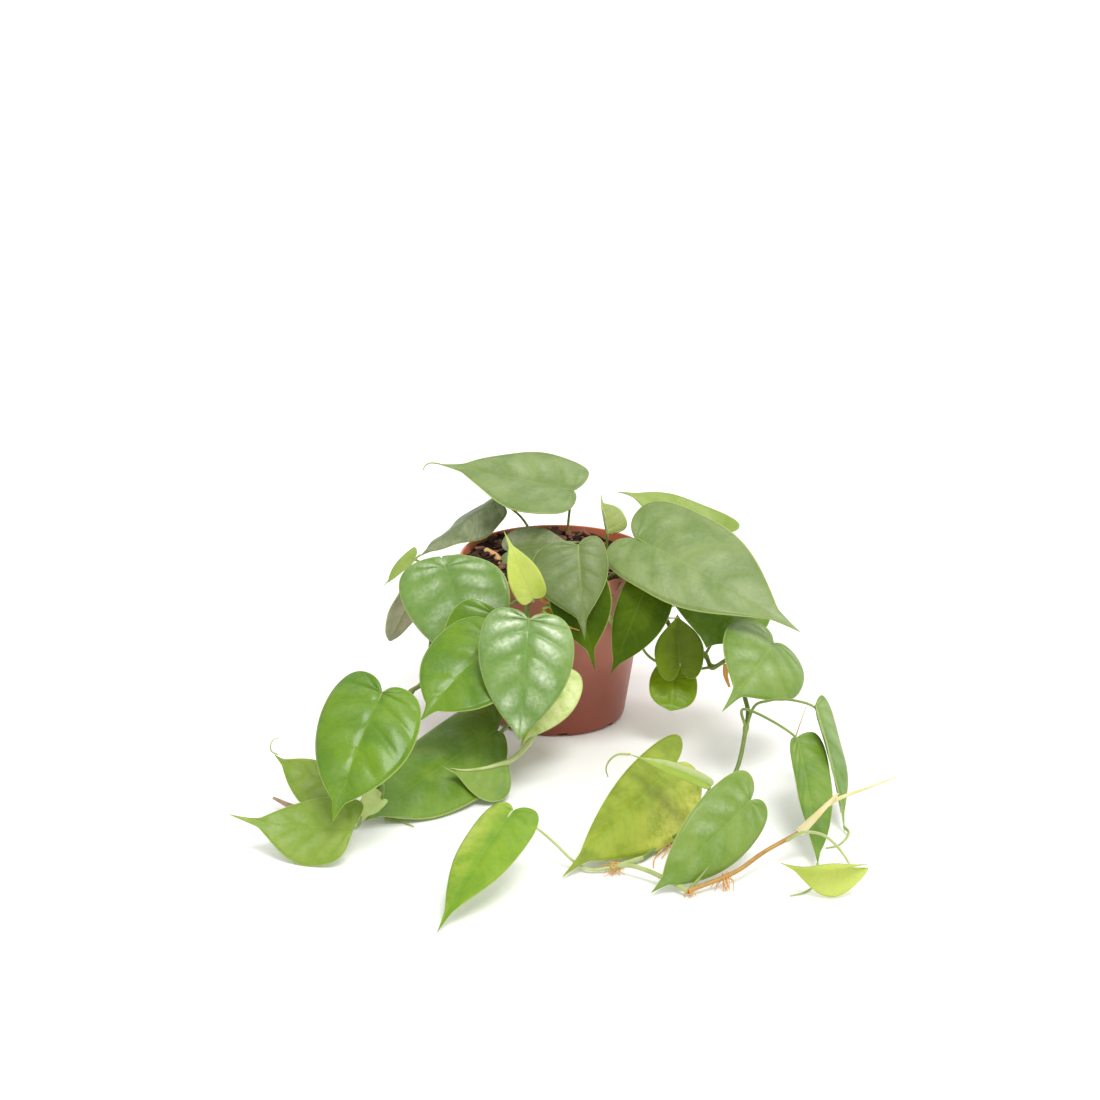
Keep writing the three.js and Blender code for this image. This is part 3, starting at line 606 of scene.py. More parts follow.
def patch_mask(tree, given, place, signed, along):
    """Where a blade has turned yellow, and on the grey leaf 10 where a sheen is painted: blotches on one
    half or on both, clear of the midrib.
    """
    covered = times_plus(tree, given["Patch Cover"], 0.4, -0.2)
    blotch = math_node(tree, "ADD", spots(tree, place, PATCH_BLOTCHES, 8, 0.75), covered)
    one_side = ramp(tree, times(tree, signed, given["Patch Side"]), -0.25, 0.8)
    both_sides = turned_round(tree, math_node(tree, "ABSOLUTE", given["Patch Side"]))
    halves = math_node(tree, "MAXIMUM", one_side, both_sides)
    clear = ramp(tree, math_node(tree, "ABSOLUTE", signed), 0.02, 0.35)
    tipward = times(tree, ramp(tree, along, 0.5, 0.75), given["Patch Fade"])
    reach = times(tree, halves, clear, turned_round(tree, tipward))
    return times(tree, ramp(tree, blotch, 0.36, 0.7), reach, given["Patches"])


def painted_sheen_mask(tree, given, place, fine, out, wave):
    """Painted sheen: whitish colour on the bulges between the veins, in clouds and in grains, that stands
    in for the key light's highlights on the wax.
    """
    inner = turned_round(tree, ramp(tree, out, 0.5, 0.95))
    crown = times(tree, ramp(tree, wave, 0.05, 0.5), ramp(tree, out, 0.02, 0.3), inner)
    clouds = times_plus(tree, ramp(tree, spots(tree, place, PAINTED_SHEEN_CLOUDS, 4), *HALF_CLOUDS), 0.7, 0.3)
    grains = times_plus(tree, fine, 0.6, 0.5)
    return times(tree, times_plus(tree, crown, 0.75, 0.2), clouds, grains, given["Painted Sheen"])


def vein_mask(tree, given, out, wave, across, along):
    """The side veins, which fade towards the margin, and the midrib, fainter towards the tip."""
    line = turned_round(tree, ramp(tree, wave, 0.0, 0.12))
    side_vein = times(tree, line, turned_round(tree, ramp(tree, out, 0.3, 0.9)), 0.4)
    midrib = turned_round(tree, ramp(tree, across, *MIDRIB_EDGES))
    strength = times_plus(tree, turned_round(tree, ramp(tree, along, 0.55, 1.0)), 0.6, 0.25)
    vein = math_node(tree, "MAXIMUM", side_vein, times(tree, midrib, strength))
    return times(tree, vein, given["Veining"])


def leaf_group():
    """A leaf's colour from its own maps: clouds, streaks, patches, painted sheen, veins and a pale rim.
    """
    group, given, put = new_group(
        "leaf pattern",
        [("Deep", COLOR), ("Light", COLOR), ("Vein", COLOR), ("Margin", COLOR), ("Patch", COLOR),
         ("Patches", NUMBER), ("Patch Side", NUMBER), ("Patch Cover", NUMBER), ("Streaks", NUMBER),
         ("Veining", NUMBER), ("Painted Sheen", NUMBER), ("Bump", NUMBER), ("Patch Fade", NUMBER)],
        [("Color", COLOR), ("Normal", VECTOR)],
    )
    place = add_node(group, "ShaderNodeTexCoord").outputs["Object"]
    shape_map = add_node(group, "ShaderNodeUVMap", uv_map="shape").outputs[0]
    half, along, _ = add_node(group, "ShaderNodeSeparateXYZ", {0: shape_map}).outputs
    flat_map = add_node(group, "ShaderNodeUVMap", uv_map="flat").outputs[0]
    flat = add_node(group, "ShaderNodeSeparateXYZ", {0: flat_map}).outputs
    signed = times_plus(group, half, 2.0, -1.0)
    out = math_node(group, "ABSOLUTE", signed)
    across = math_node(group, "ABSOLUTE", flat[0])
    wave = math_node(group, "PINGPONG", times(group, along, VEIN_PAIRS), 0.5)

    cloud = ramp(group, spots(group, place, LEAF_CLOUDS, 3), *HALF_CLOUDS)
    color = mix_colors(group, cloud, given["Deep"], given["Light"])
    fine = ramp(group, spots(group, place, LEAF_GRAINS, 4, 0.6), 0.3, 0.7)
    color = mix_colors(group, times(group, fine, 0.22), color, given["Light"])
    stretched = add_node(
        group, "ShaderNodeMapping", {"Vector": shape_map, "Scale": STREAK_STRETCH}
    ).outputs[0]
    streak = times(group, ramp(group, spots(group, stretched, 1, 4, 0.6), 0.35, 0.7), given["Streaks"])
    color = mix_colors(group, streak, color, given["Deep"])
    patch = patch_mask(group, given, place, signed, along)
    color = mix_colors(group, patch, color, given["Patch"])
    # Painted sheen: whitish painted highlights mixed into the colour.
    color = mix_colors(group, painted_sheen_mask(group, given, place, fine, out, wave), color, PAINTED_SHEEN_WHITE)
    vein = vein_mask(group, given, out, wave, across, along)
    color = mix_colors(group, vein, color, given["Vein"])
    color = mix_colors(group, times(group, ramp(group, out, *RIM_EDGES), 0.7), color, given["Margin"])
    group.links.new(color, put["Color"])

    skin = times(group, spots(group, place, SKIN_GRAINS, 3, 0.6), 0.35)
    bump = add_node(
        group, "ShaderNodeBump",
        {"Strength": given["Bump"], "Distance": SKIN_DEPTH, "Height": times_plus(group, fine, 0.6, skin)},
    )
    group.links.new(bump.outputs[0], put["Normal"])
    return group


LEAF_PATTERN = leaf_group()


# A skin's sheen strength sets how much painted sheen, whitish painted highlights, its upper side gets.
def leaf_skin(
    name, deep, light, vein=(0.3, 0.44, 0.09), margin=(0.46, 0.58, 0.16), patch=(0.5, 0.5, 0.08),
    patches=0.0, patch_side=0.0, cover=0.5, fade=0.0, streaks=0.35, veining=0.25, painted_sheen=0.0,
    gloss=0.36, shine=0.3, wax=0.1,
):
    """The three skins of a blade: its upper side, its paler back and its rim."""
    colors = {"Deep": deep, "Light": light, "Vein": vein, "Margin": margin, "Patch": patch}
    given = {title: (*color, 1) for title, color in colors.items()}
    given.update(
        {"Patches": patches, "Patch Side": patch_side, "Patch Cover": cover, "Streaks": streaks,
         "Veining": veining, "Painted Sheen": painted_sheen, "Bump": LEAF_BUMP, "Patch Fade": fade}
    )
    upper = new_material(
        name, LEAF_PATTERN, given, Roughness=gloss, Specular_IOR_Level=shine, Coat_Weight=wax,
        Coat_Roughness=0.22, **SOFT_LIGHT,
    )
    back = dict(given)
    for title in ("Deep", "Light"):
        red, green, blue = colors[title]
        back[title] = (red * 1.15 + 0.05, green + 0.07, blue + 0.04, 1)
    under = new_material(
        name + " back", LEAF_PATTERN, back, Roughness=0.6, Specular_IOR_Level=0.25, **SOFT_LIGHT,
    )
    edge = cloudy_material(
        name + " rim", margin, tuple(0.8 * value for value in margin), deep, scale=90, specks=0.2,
        bump=0.1, Roughness=0.5,
    )
    return [upper, under, edge]


def bezier(points, t):
    """A place on a cubic curve of four control points."""
    a, b, c, d = points
    s = 1 - t
    return s ** 3 * a + 3 * s * s * t * b + 3 * s * t * t * c + t ** 3 * d


def bezier_way(points, t):
    """The direction of a cubic curve at a place."""
    a, b, c, d = points
    s = 1 - t
    return (3 * s * s * (b - a) + 6 * s * t * (c - b) + 3 * t * t * (d - c)).normalized()


def margin_line(lobe, taper, notch, crest, shoulder, belly, wide, length):
    """The margin's places (across in half widths, along in lengths), evenly spaced from the
    stalk round one lobe to the tip."""
    neck = 0.93 - 0.18 * taper
    pieces = [
        [(0, 0), (0.06 * notch, -0.5 * lobe), (0.22 * notch, -1.1 * lobe), (crest, -lobe)],
        [(crest, -lobe), (shoulder, -0.9 * lobe), (1, 0.04), (1, 0.25)],
        [(1, 0.25), (1, 0.56 - 0.1 * taper), (belly, neck - 0.13), (0.14, neck)],
        [(0.14, neck), (0.07, neck + 0.05), (0.02, 0.97), (0, 1)],
    ]
    line = [Vector((0, 0))]
    for piece in pieces:
        controls = [Vector(point) for point in piece]
        line += [bezier(controls, step / MARGIN_STEPS) for step in range(1, MARGIN_STEPS + 1)]
    size = Vector((wide / 2, length))
    gone = [0]
    for first, second in zip(line, line[1:]):
        gone.append(gone[-1] + ((second - first) * size).length)
    even = []
    index = 0
    for row in range(BLADE_ROWS + 1):
        goal = gone[-1] * row / BLADE_ROWS
        while index < len(line) - 2 and gone[index + 1] < goal:
            index += 1
        part = (goal - gone[index]) / (gone[index + 1] - gone[index])
        even.append(line[index].lerp(line[index + 1], min(1, part)))
    return even


def square_to(direction, along):
    """The part of a direction that is square to another one, with length 1."""
    return (direction - along * direction.dot(along) / along.length_squared).normalized()


def stalk_radii(count, rib_from, full):
    """A stalk's radius at each place: a little thinner up to the blade, then down to the tip."""
    radii = []
    for index in range(count):
        part = index / (count - 1)
        if part < rib_from:
            radii.append(full * (1 - (1 - RIB_START) * part / rib_from))
        else:
            radii.append(full * RIB_START * (1 - RIB_THINNING * (part - rib_from) / (1 - rib_from)))
    return radii


def grow_leaf(
    name, skin, at, tip, face, wide, bend, fold, dome, lobe, taper, stalk, lean=0, slant=0,
    notch=1, crest=0.5, shoulder=0.8, belly=0.45, quilt=0.5, wave=0.5, groove=0.6, crease=1.2,
    stalk_skin=None, stalk_radius=STALK_RADIUS,
):
    """A leaf from its stalk's root to its tip, in place of the CAD node of the same name. The
    blade runs from `at` to `tip` and its upper side looks to `face`; `bend` bows the midrib,
    `fold` raises the halves by degrees, `dome` rounds them down. `lean` widens the right half,
    `slant` shifts one half towards the tip, and `notch`, `crest`, `shoulder` and `belly` fill the
    margin out. `quilt`, `groove` and `wave` are millimetres of relief between the veins, along
    the midrib and along the margin, and `crease` is the softness of the fold in millimetres."""
    at, tip, face = Vector(at), Vector(tip), Vector(face)
    chord = tip - at
    up = square_to(face, chord)
    spine = [at, at + 0.33 * chord + up * bend[0], at + 0.7 * chord + up * bend[1], tip]
    edges = margin_line(lobe, taper, notch, crest, shoulder, belly, wide, chord.length)
    fold = math.radians(fold)
    shift = sum(ord(letter) * (n + 1) for n, letter in enumerate(name)) % 97 / 97

    shape = bmesh.new()
    bmesh.ops.create_grid(shape, x_segments=BLADE_COLUMNS, y_segments=BLADE_ROWS, size=1)
    shape_map = shape.loops.layers.uv.new("shape")
    flat_map = shape.loops.layers.uv.new("flat")
    for vertex in shape.verts:
        side = math.copysign(1, vertex.co.x)
        out = abs(vertex.co.x) ** COLUMN_SPREAD
        run = (vertex.co.y + 1) / 2
        edge = edges[round(run * BLADE_ROWS)]
        across = side * edge.x * out
        root = max(0, edge.y) ** VEIN_LAG
        along = root + (edge.y - root) * out ** VEIN_ARCH
        flat_place = (across * wide / 2 / FLAT_MAP_SIZE, along * chord.length / FLAT_MAP_SIZE)
        for loop in vertex.link_loops:
            loop[shape_map].uv = (0.5 + 0.5 * side * out, run)
            loop[flat_map].uv = flat_place
        along += slant * across * (1 - along)
        t = max(0, along)
        way = bezier_way(spine, t)
        normal = square_to(face, way)
        reach = across * wide * (1 + side * lean) / 2
        rise = (math.hypot(reach, crease) - crease) * math.sin(fold) - dome * across * across * wide / 2
        swell = abs(math.sin(math.pi * VEIN_PAIRS * run)) ** 0.7 - 0.7
        rise += quilt * swell * math.sin(math.pi * out ** 0.8) ** 0.8 * (1 - run ** 6)
        rise -= groove * math.exp(-(reach / GROOVE_WIDTH) ** 2) * (1 - run ** 4)
        ripple = math.sin(2 * math.pi * (RIM_WAVES * run + shift + 0.3 * side))
        rise += wave * out ** 3 * ripple * math.sin(math.pi * run)
        centre = bezier(spine, t) + way * min(0, along) * chord.length
        vertex.co = centre + way.cross(normal) * reach * math.cos(fold) + normal * rise
    bmesh.ops.remove_doubles(shape, verts=shape.verts, dist=0.01)
    blade = add_piece(name + "_blade", mesh_of(name + " blade", shape), skin, [name])
    solid = blade.modifiers.new("thickness", "SOLIDIFY")
    solid.thickness = BLADE_THICKNESS * MM
    solid.offset = 0
    solid.material_offset = 1
    solid.material_offset_rim = 2

    under = []
    for t, depth in RIB_DEPTHS:
        normal = square_to(face, bezier_way(spine, t))
        under.append(bezier(spine, t) - normal * (depth + groove * 0.6))
    path = smooth_path([*stalk, *under], 6)
    rib_from = (len(stalk) + 0.5) / (len(stalk) + 4)
    stalk_mesh = tube(name + " stalk", path, stalk_radii(len(path), rib_from, stalk_radius))
    add_piece(name + "_stalk", stalk_mesh, [stalk_skin or STALK_GREEN], [name])


STALK_GREEN = cloudy_material(
    "stalk green", (0.2, 0.3, 0.055), (0.27, 0.37, 0.08), (0.14, 0.13, 0.04), scale=90, specks=0.3,
    bump=0.2, Roughness=0.45,
)
STALK_PALE = cloudy_material(
    "stalk pale", (0.42, 0.5, 0.17), (0.54, 0.6, 0.27), (0.3, 0.28, 0.1), scale=90, specks=0.2,
    bump=0.15, Roughness=0.45,
)
GREEN = leaf_skin("leaf green", (0.095, 0.205, 0.005), (0.165, 0.285, 0.018), painted_sheen=0.15)
SHEEN = leaf_skin("sheeny leaf", (0.14, 0.25, 0.02), (0.2, 0.31, 0.048), painted_sheen=0.28, gloss=0.38)
GLOSSY = leaf_skin(
    "glossy leaf", (0.115, 0.245, 0.018), (0.165, 0.3, 0.036), veining=0.15, painted_sheen=1, gloss=0.3,
    wax=0.3,
)
WAXY = leaf_skin(
    "waxy leaf", (0.14, 0.22, 0.042), (0.215, 0.295, 0.08), veining=0.25, painted_sheen=0.16, gloss=0.4,
    shine=0.4,
)
SOFT = leaf_skin(
    "soft leaf", (0.19, 0.31, 0.02), (0.27, 0.38, 0.05), veining=0.25, painted_sheen=0.2, gloss=0.46,
)
GREY = leaf_skin(
    "grey leaf", (0.105, 0.165, 0.032), (0.16, 0.215, 0.055), veining=0.3, painted_sheen=0.2, gloss=0.46,
)
SILVER = leaf_skin(
    "silver leaf", (0.12, 0.165, 0.06), (0.28, 0.32, 0.17), streaks=0.6, veining=0.2, painted_sheen=0.15,
    gloss=0.5,
)
ASH = leaf_skin("ash leaf", (0.26, 0.33, 0.21), (0.38, 0.44, 0.3), streaks=0.7, veining=0.2, gloss=0.5)
BRIGHT = leaf_skin(
    "bright leaf", (0.088, 0.205, 0.001), (0.145, 0.28, 0.002), veining=0.25, painted_sheen=0.08, gloss=0.28,
    shine=0.25, wax=0.3,
)
# A darker, duller copy of the green leaf skin for leaves that stand in shade: painted shade.
SHADE_DARK = leaf_skin(
    "dark leaf", (0.05, 0.1, 0.001), (0.09, 0.155, 0.002), vein=(0.2, 0.3, 0.05), gloss=0.4, shine=0.1,
    wax=0,
)
OLIVE = leaf_skin(
    "olive leaf", (0.08, 0.125, 0.004), (0.11, 0.16, 0.008), patch=(0.2, 0.3, 0.006), patches=0.75,
    patch_side=-0.7, cover=0.8, veining=0.15, gloss=0.4, shine=0.15, wax=0.05,
)
LIME = leaf_skin("lime leaf", (0.2, 0.33, 0.004), (0.28, 0.41, 0.012), gloss=0.34, shine=0.2)
YOUNG = leaf_skin("young leaf", (0.5, 0.6, 0.075), (0.6, 0.7, 0.15), gloss=0.36)
LIGHT = leaf_skin("light leaf", (0.23, 0.34, 0.045), (0.32, 0.42, 0.1), gloss=0.42)
PALE = leaf_skin("pale leaf", (0.36, 0.46, 0.11), (0.48, 0.56, 0.21), veining=0.2, gloss=0.45)
EDGED = leaf_skin(
    "pale edged leaf", (0.31, 0.48, 0.03), (0.43, 0.59, 0.07), patch=(0.8, 0.86, 0.4), patches=0.9,
    patch_side=-1, cover=0.75, veining=0.2, gloss=0.4,
)
MOTTLED = leaf_skin(
    "mottled leaf", (0.16, 0.24, 0.006), (0.3, 0.38, 0.03), patch=(0.6, 0.59, 0.12), patches=0.8,
    patch_side=-0.9, cover=0.7, fade=0.9, gloss=0.4, shine=0.2,
)
PATCHY = leaf_skin(
    "patchy leaf", (0.12, 0.27, 0.003), (0.2, 0.35, 0.01), patch=(0.46, 0.54, 0.08), patches=0.85,
    patch_side=0.8, cover=0.68, fade=0.5, gloss=0.34,
)
TWO_TONE = leaf_skin(
    "two tone leaf", (0.25, 0.37, 0.02), (0.33, 0.45, 0.05), patch=(0.5, 0.57, 0.27), patches=0.85,
    patch_side=1, cover=0.9, veining=0.2, gloss=0.42,
)
# The grey leaf skin with a whitish grey patch on one half: a painted sheen.
GREY_SHEEN_PATCHED = leaf_skin(
    "grey leaf with painted sheen", (0.105, 0.165, 0.032), (0.16, 0.215, 0.055), patch=(0.5, 0.52, 0.38),
    patches=0.5, patch_side=-1, cover=0.6, veining=0.3, painted_sheen=0.2, gloss=0.46,
)
FADED = leaf_skin("faded leaf", (0.52, 0.64, 0.2), (0.62, 0.72, 0.3), veining=0.2, gloss=0.45)
WITHERED = leaf_skin(
    "withered leaf", (0.4, 0.38, 0.02), (0.6, 0.46, 0.04), patch=(0.7, 0.26, 0.02), patches=0.9,
    gloss=0.55, wax=0,
)

# The leaves over the pot. They stand on stalks of their own, straight out of the bark. Two of them
# are the largest up here, and those at the back hang over the rim.
grow_leaf(
    "leaf_01", WAXY, at=(10.8, 30, 137.6), tip=(-74, 45, 150), face=(0.08, -0.3, 0.95),
    quilt=0.4, wave=0.8, wide=68, bend=(1, 1), fold=8, dome=0.12, lobe=0.06, taper=0.7, lean=-0.04,
    slant=-0.03, stalk=[(7, 46, 80), (7, 47, 97), (9, 44, 122)],
)
grow_leaf(
    "leaf_02", SILVER, at=(-38.5, 41.5, 127), tip=(-86, 16.5, 97.9),
    face=(-0.42, -0.2, 0.88), quilt=0.6, wave=1.5, wide=41, bend=(1, 0), fold=-12, dome=0.2, lobe=0.02,
    taper=0.4, lean=0.12, stalk=[(-12, 42, 80), (-13, 43, 97), (-22, 50, 113)],
)
grow_leaf(
    "leaf_10", GREY_SHEEN_PATCHED, at=(-30, 6, 105.4), tip=(16, -6, 115.4), face=(-0.15, -0.6, 0.78),
    wide=31, bend=(3, 1), fold=6, dome=0.12, lobe=0.1, taper=1, stalk=[(-28, 14, 80), (-29, 14, 96)],
)
grow_leaf(
    "leaf_11", GREY, at=(13.1, -60, 131.6), tip=(17.1, -90, 81.5), face=(0, -0.88, 0.47),
    wide=47, bend=(5, 4), fold=8, dome=0.2, lobe=0.065, taper=1, lean=0.26, slant=0.055,
    stalk=[(8, -24, 80), (8, -28, 97), (12, -48, 122)],
)
grow_leaf(
    "leaf_14", WAXY, at=(48.2, -34, 127.3), tip=(146, -82, 84), face=(0.15, -0.62, 0.77),
    quilt=0.5, wave=0.8, wide=70, bend=(6, 4), fold=7, dome=0.16, lobe=0.085, taper=0.6, lean=-0.11,
    shoulder=0.9, stalk=[(38, -16, 80), (39, -18, 97), (42, -26, 118)],
)
grow_leaf(
    "leaf_15", PALE, at=(32, -12, 123), tip=(28, -6, 146), face=(0.7, -0.7, 0.1), wide=27,
    bend=(0, -2), fold=50, dome=0, lobe=0.02, taper=0.9, belly=0.8,
    stalk=[(30, -4, 80), (30, -4, 97), (31.5, -9, 115)],
)
grow_leaf(
    "leaf_16", LIGHT, at=(103, 8, 117), tip=(38.5, 36, 134.5), face=(0, -0.35, 0.93),
    wide=36, bend=(-3, 8), fold=10, dome=0.15, lobe=0.12, taper=0.6,
    stalk=[(42, 8, 80), (44, 8, 97), (66, 8, 111)],
)

# The leaves at the left side of the pot. They are fresh blades and a greyish one seen from its
# back, on stalks of their own out of the bark that lean out over the rim.
grow_leaf(
    "leaf_03", LIGHT, at=(-89.5, 6, 100), tip=(-107.5, 2, 84), face=(-0.5, -0.5, 0.7),
    quilt=0.1, wave=0.2, crest=0.85, shoulder=1, wide=10, bend=(0, 0), fold=6, dome=0, lobe=0.24,
    taper=0.6, lean=0.5, stalk=[(-40, -10, 80), (-42, -12, 97), (-58, -16, 108), (-78, -4, 99)],
)
grow_leaf(
    "leaf_04", ASH, at=(-85, 12, 82), tip=(-105, 10, 44), face=(-0.6, 0.75, 0.2),
    belly=0.8, wide=26, bend=(2, 1), fold=5, dome=0.1, lobe=0.1, taper=-0.3,
    stalk=[(-44, -2, 80), (-46, -4, 97), (-60, -10, 108), (-74, 2, 96)],
)
grow_leaf(
    "leaf_05", GLOSSY, at=(-67.9, -35.3, 109.6), tip=(-42.9, -74.3, 59.9),
    face=(-0.3, -0.78, 0.55), quilt=0.9, crest=0.008, shoulder=0.66, wide=66, bend=(3, 2), fold=6,
    dome=0.08, lobe=0.11, taper=0.1, slant=-0.16, notch=0.03, belly=0.6,
    stalk=[(-36, -18, 80), (-38, -20, 97), (-56, -28, 112)],
)

# The leaves in front of the pot. They hang from the middle stem and shade one another, down to
# the pair that lies on the floor; leaf 12 stands on a stalk of its own out of the bark.
grow_leaf(
    "leaf_06", BRIGHT, at=(-35.6, -66, 89.4), tip=(-58.9, -90, 39.1),
    face=(0.06, -0.91, 0.41), quilt=0.8, wide=53, bend=(2, 1), fold=6, dome=0.15, lobe=0.06, taper=0.2,
    notch=0.15, belly=0.6, stalk=[(-16.5, -67, 103), (-23, -72, 101)],
)
grow_leaf(
    "leaf_07", BRIGHT, at=(-36.6, -93, 83.1), tip=(-79.5, -137, 49.1),
    face=(-0.2, -0.75, 0.6), quilt=1, groove=0.8, wide=60, bend=(6, 4), fold=8, dome=0.16, lobe=0.14,
    taper=0.5, lean=-0.06, belly=0.72, stalk=[(-17.5, -71, 92), (-26, -82, 91)],
)
grow_leaf(
    "leaf_08", GLOSSY, at=(-16.1, -108.8, 102.2), tip=(-21.9, -135.8, 36.5),
    face=(0, -0.94, 0.3), quilt=1.8, groove=1.2, wide=57, bend=(9, 7), fold=10, dome=0.26, lobe=0.07,
    taper=0.1, slant=-0.03, stalk=[(-16.3, -71, 84), (-17, -92, 94.5)],
)
grow_leaf(
    "leaf_09", YOUNG, at=(-13.8, -80.6, 105.3), tip=(-31, -82.6, 148.3),
    face=(0.1, -0.95, 0.2), quilt=0.2, groove=0, crease=6, stalk_skin=STALK_PALE, wide=22, bend=(1, 0),
    fold=24, dome=0, lobe=0.04, taper=1, stalk=[(-16.5, -67, 103), (-14, -75, 101)],
)
# Leaf 12 wears the darker leaf skin, painted shade.
grow_leaf(
    "leaf_12", SHADE_DARK, at=(11.3, -67, 115), tip=(23.4, -83, 59), face=(0.1, -0.95, 0.3),
    wide=38, bend=(2, 1), fold=8, dome=0.1, lobe=0.1, taper=1,
    stalk=[(14, -28, 80), (14, -32, 97), (13, -56, 117)],
)
grow_leaf(
    "withered_leaf", WITHERED, at=(-5, -64.5, 95), tip=(9, -69, 80),
    face=(0.1, -0.9, 0.4), quilt=0.4, wide=15, bend=(1, 1), fold=12, dome=0.1, lobe=0.05, taper=0.3,
    stalk=[(-16.5, -67, 103), (-9, -64, 99)],
)
grow_leaf(
    "leaf_34", GREEN, at=(-35.6, -88, 23.4), tip=(-110, -180, 5), face=(0.1, -0.4, 0.91),
    wide=59, bend=(3, 2), fold=6, dome=0.2, lobe=0.06, taper=0.1, lean=-0.05, slant=-0.25, belly=0.75,
    stalk=[(-36, -92, 20), (-34, -88, 17)],
)
grow_leaf(
    "leaf_35", EDGED, at=(-0.1, -80, 60.3), tip=(-21.5, -110.5, 21),
    face=(0.11, -0.81, 0.57), wide=36, bend=(2, 1), fold=8, dome=0.1, lobe=0.06, taper=0.5, lean=-0.15,
    stalk=[(-12, -73, 56), (-6, -76, 60)],
)
grow_leaf(
    "leaf_36", GREEN, at=(-28.6, -124, 17), tip=(-66.3, -146, 24.4),
    face=(-0.24, 0.34, -0.91), stalk_skin=STALK_PALE, stalk_radius=2.2, wide=26, bend=(6, 8), fold=12,
    dome=0, lobe=0.02, taper=0.9, lean=0.75, slant=0.15,
    stalk=[(-20, -80, 36), (-12, -98, 30), (-17, -110, 23)],
)

# The leaves at the right side. They grow from the right stem where it hangs and swings forward;
# leaf 13 stands on a stalk of its own that leans over the rim.
# Leaf 13 wears the darker leaf skin, painted shade.
grow_leaf(
    "leaf_13", SHADE_DARK, at=(55.6, -52, 106), tip=(33, -74, 54), face=(0.05, -0.95, 0.3),
    wide=33, bend=(4, 2), fold=8, dome=0.12, lobe=0.03, taper=0.4, lean=-0.2,
    stalk=[(34, -30, 80), (36, -34, 97), (47, -46, 108.5)],
)
grow_leaf(
    "leaf_17", GREEN, at=(111.7, -30, 93), tip=(91, -62, 66.3), face=(0.1, -0.75, 0.6),
    wide=74, bend=(4, 2), fold=5, dome=0.15, lobe=0.14, taper=0.2, lean=0.28,
    stalk=[(91.6, -40, 53.4), (98, -32, 62), (108, -24, 84)],
)
grow_leaf(
    "leaf_18", OLIVE, at=(75.5, -58, 53), tip=(73.5, -56, 86), face=(0.1, -0.95, 0.1),
    wide=31, bend=(-2, -2), fold=10, dome=0.15, lobe=0.25, taper=0.3,
    stalk=[(56, -50, 100), (49, -52, 80), (54, -51, 60), (64, -51, 52)],
)
grow_leaf(
    "leaf_19", LIME, at=(72.6, -46, 41), tip=(70, -60, 24.5), face=(0.1, -0.8, 0.6),
    wide=30, bend=(1, 1), fold=5, dome=0.1, lobe=0.45, taper=-0.2, belly=0.85,
    stalk=[(95.8, -45, 47.4), (84, -42, 44)],
)
grow_leaf(
    "leaf_20", SHEEN, at=(132, -66, 71.8), tip=(97.4, -124, 49.6),
    face=(0.25, -0.75, 0.6), quilt=1.1, groove=0.9, wide=58, bend=(12, 6), fold=4, dome=0.25, lobe=0.14,
    taper=1, lean=-0.04, slant=-0.04, belly=0.6, stalk=[(106.4, -50, 54.6), (118, -54, 66)],
)
grow_leaf(
    "leaf_22", GREEN, at=(152, -132, 56), tip=(165, -186, 1.5), face=(0.92, -0.3, 0.2),
    lean=-0.25, slant=0.16, wide=36, bend=(2, 3), fold=16, dome=0.1, lobe=0.05, taper=0.5,
    stalk=[(113.1, -105, 31.7), (118, -102.6, 44.6), (125, -113, 52.2), (134, -121, 56.6)],
)
grow_leaf(
    "leaf_23", GREEN, at=(139.5, -150, 44.5), tip=(145.2, -238, 3.5),
    face=(0.25, -0.5, 0.83), wide=22.5, bend=(4, 4), fold=6, dome=0.1, lobe=0.02, taper=0.2, lean=-0.42,
    slant=0.07, belly=0.6, stalk=[(113.1, -105, 31.7), (110, -108, 44), (120, -130, 50)],
)

# The leaves of the right stem on the floor. They are old and yellow patched ones beside fresh
# ones, and a narrow young one that is still folded.
grow_leaf(
    "leaf_24", YOUNG, at=(159.4, -270, 17), tip=(122.5, -262, 16.4),
    face=(0.05, -0.92, -0.35), quilt=0.3, stalk_skin=STALK_PALE, crest=0.1, shoulder=0.25, belly=0.3,
    wide=32, bend=(4, 5), fold=38, dome=0.1, lobe=0.27, taper=0.8,
    stalk=[(128, -231, 15.6), (136, -234, 22), (146, -243, 25), (154, -257, 23.5)],
)
grow_leaf(
    "leaf_26", SHEEN, at=(108, -226, 38), tip=(51, -271, 2.5), face=(0.38, -0.8, 0.45),
    quilt=0.8, belly=0.58, wide=40, bend=(7, 5), fold=6, dome=0.2, lobe=0.1, taper=0.4, lean=0.03,
    slant=-0.06, stalk=[(71.5, -270, 3.4), (84, -255, 12), (98, -237.5, 27)],
)
grow_leaf(
    "leaf_27", MOTTLED, at=(69.7, -160, 33), tip=(2.6, -250, 2), face=(0.4, -0.53, 0.75),
    wide=48, bend=(8, 6), fold=6, dome=0.2, lobe=0.1, taper=0.6, lean=-0.27, belly=0.52, slant=-0.12,
    stalk=[(80, -175, 3.2), (78, -166, 18)],
)
grow_leaf(
    "leaf_28", TWO_TONE, at=(86, -212, 41), tip=(41, -184, 48), face=(0.1, -0.5, 0.86),
    quilt=0.1, wave=0.2, wide=10, bend=(3, 2), fold=10, dome=0, lobe=0.02, taper=0.6,
    stalk=[(64, -204, 4.5), (73, -213, 15), (80, -215, 31)],
)
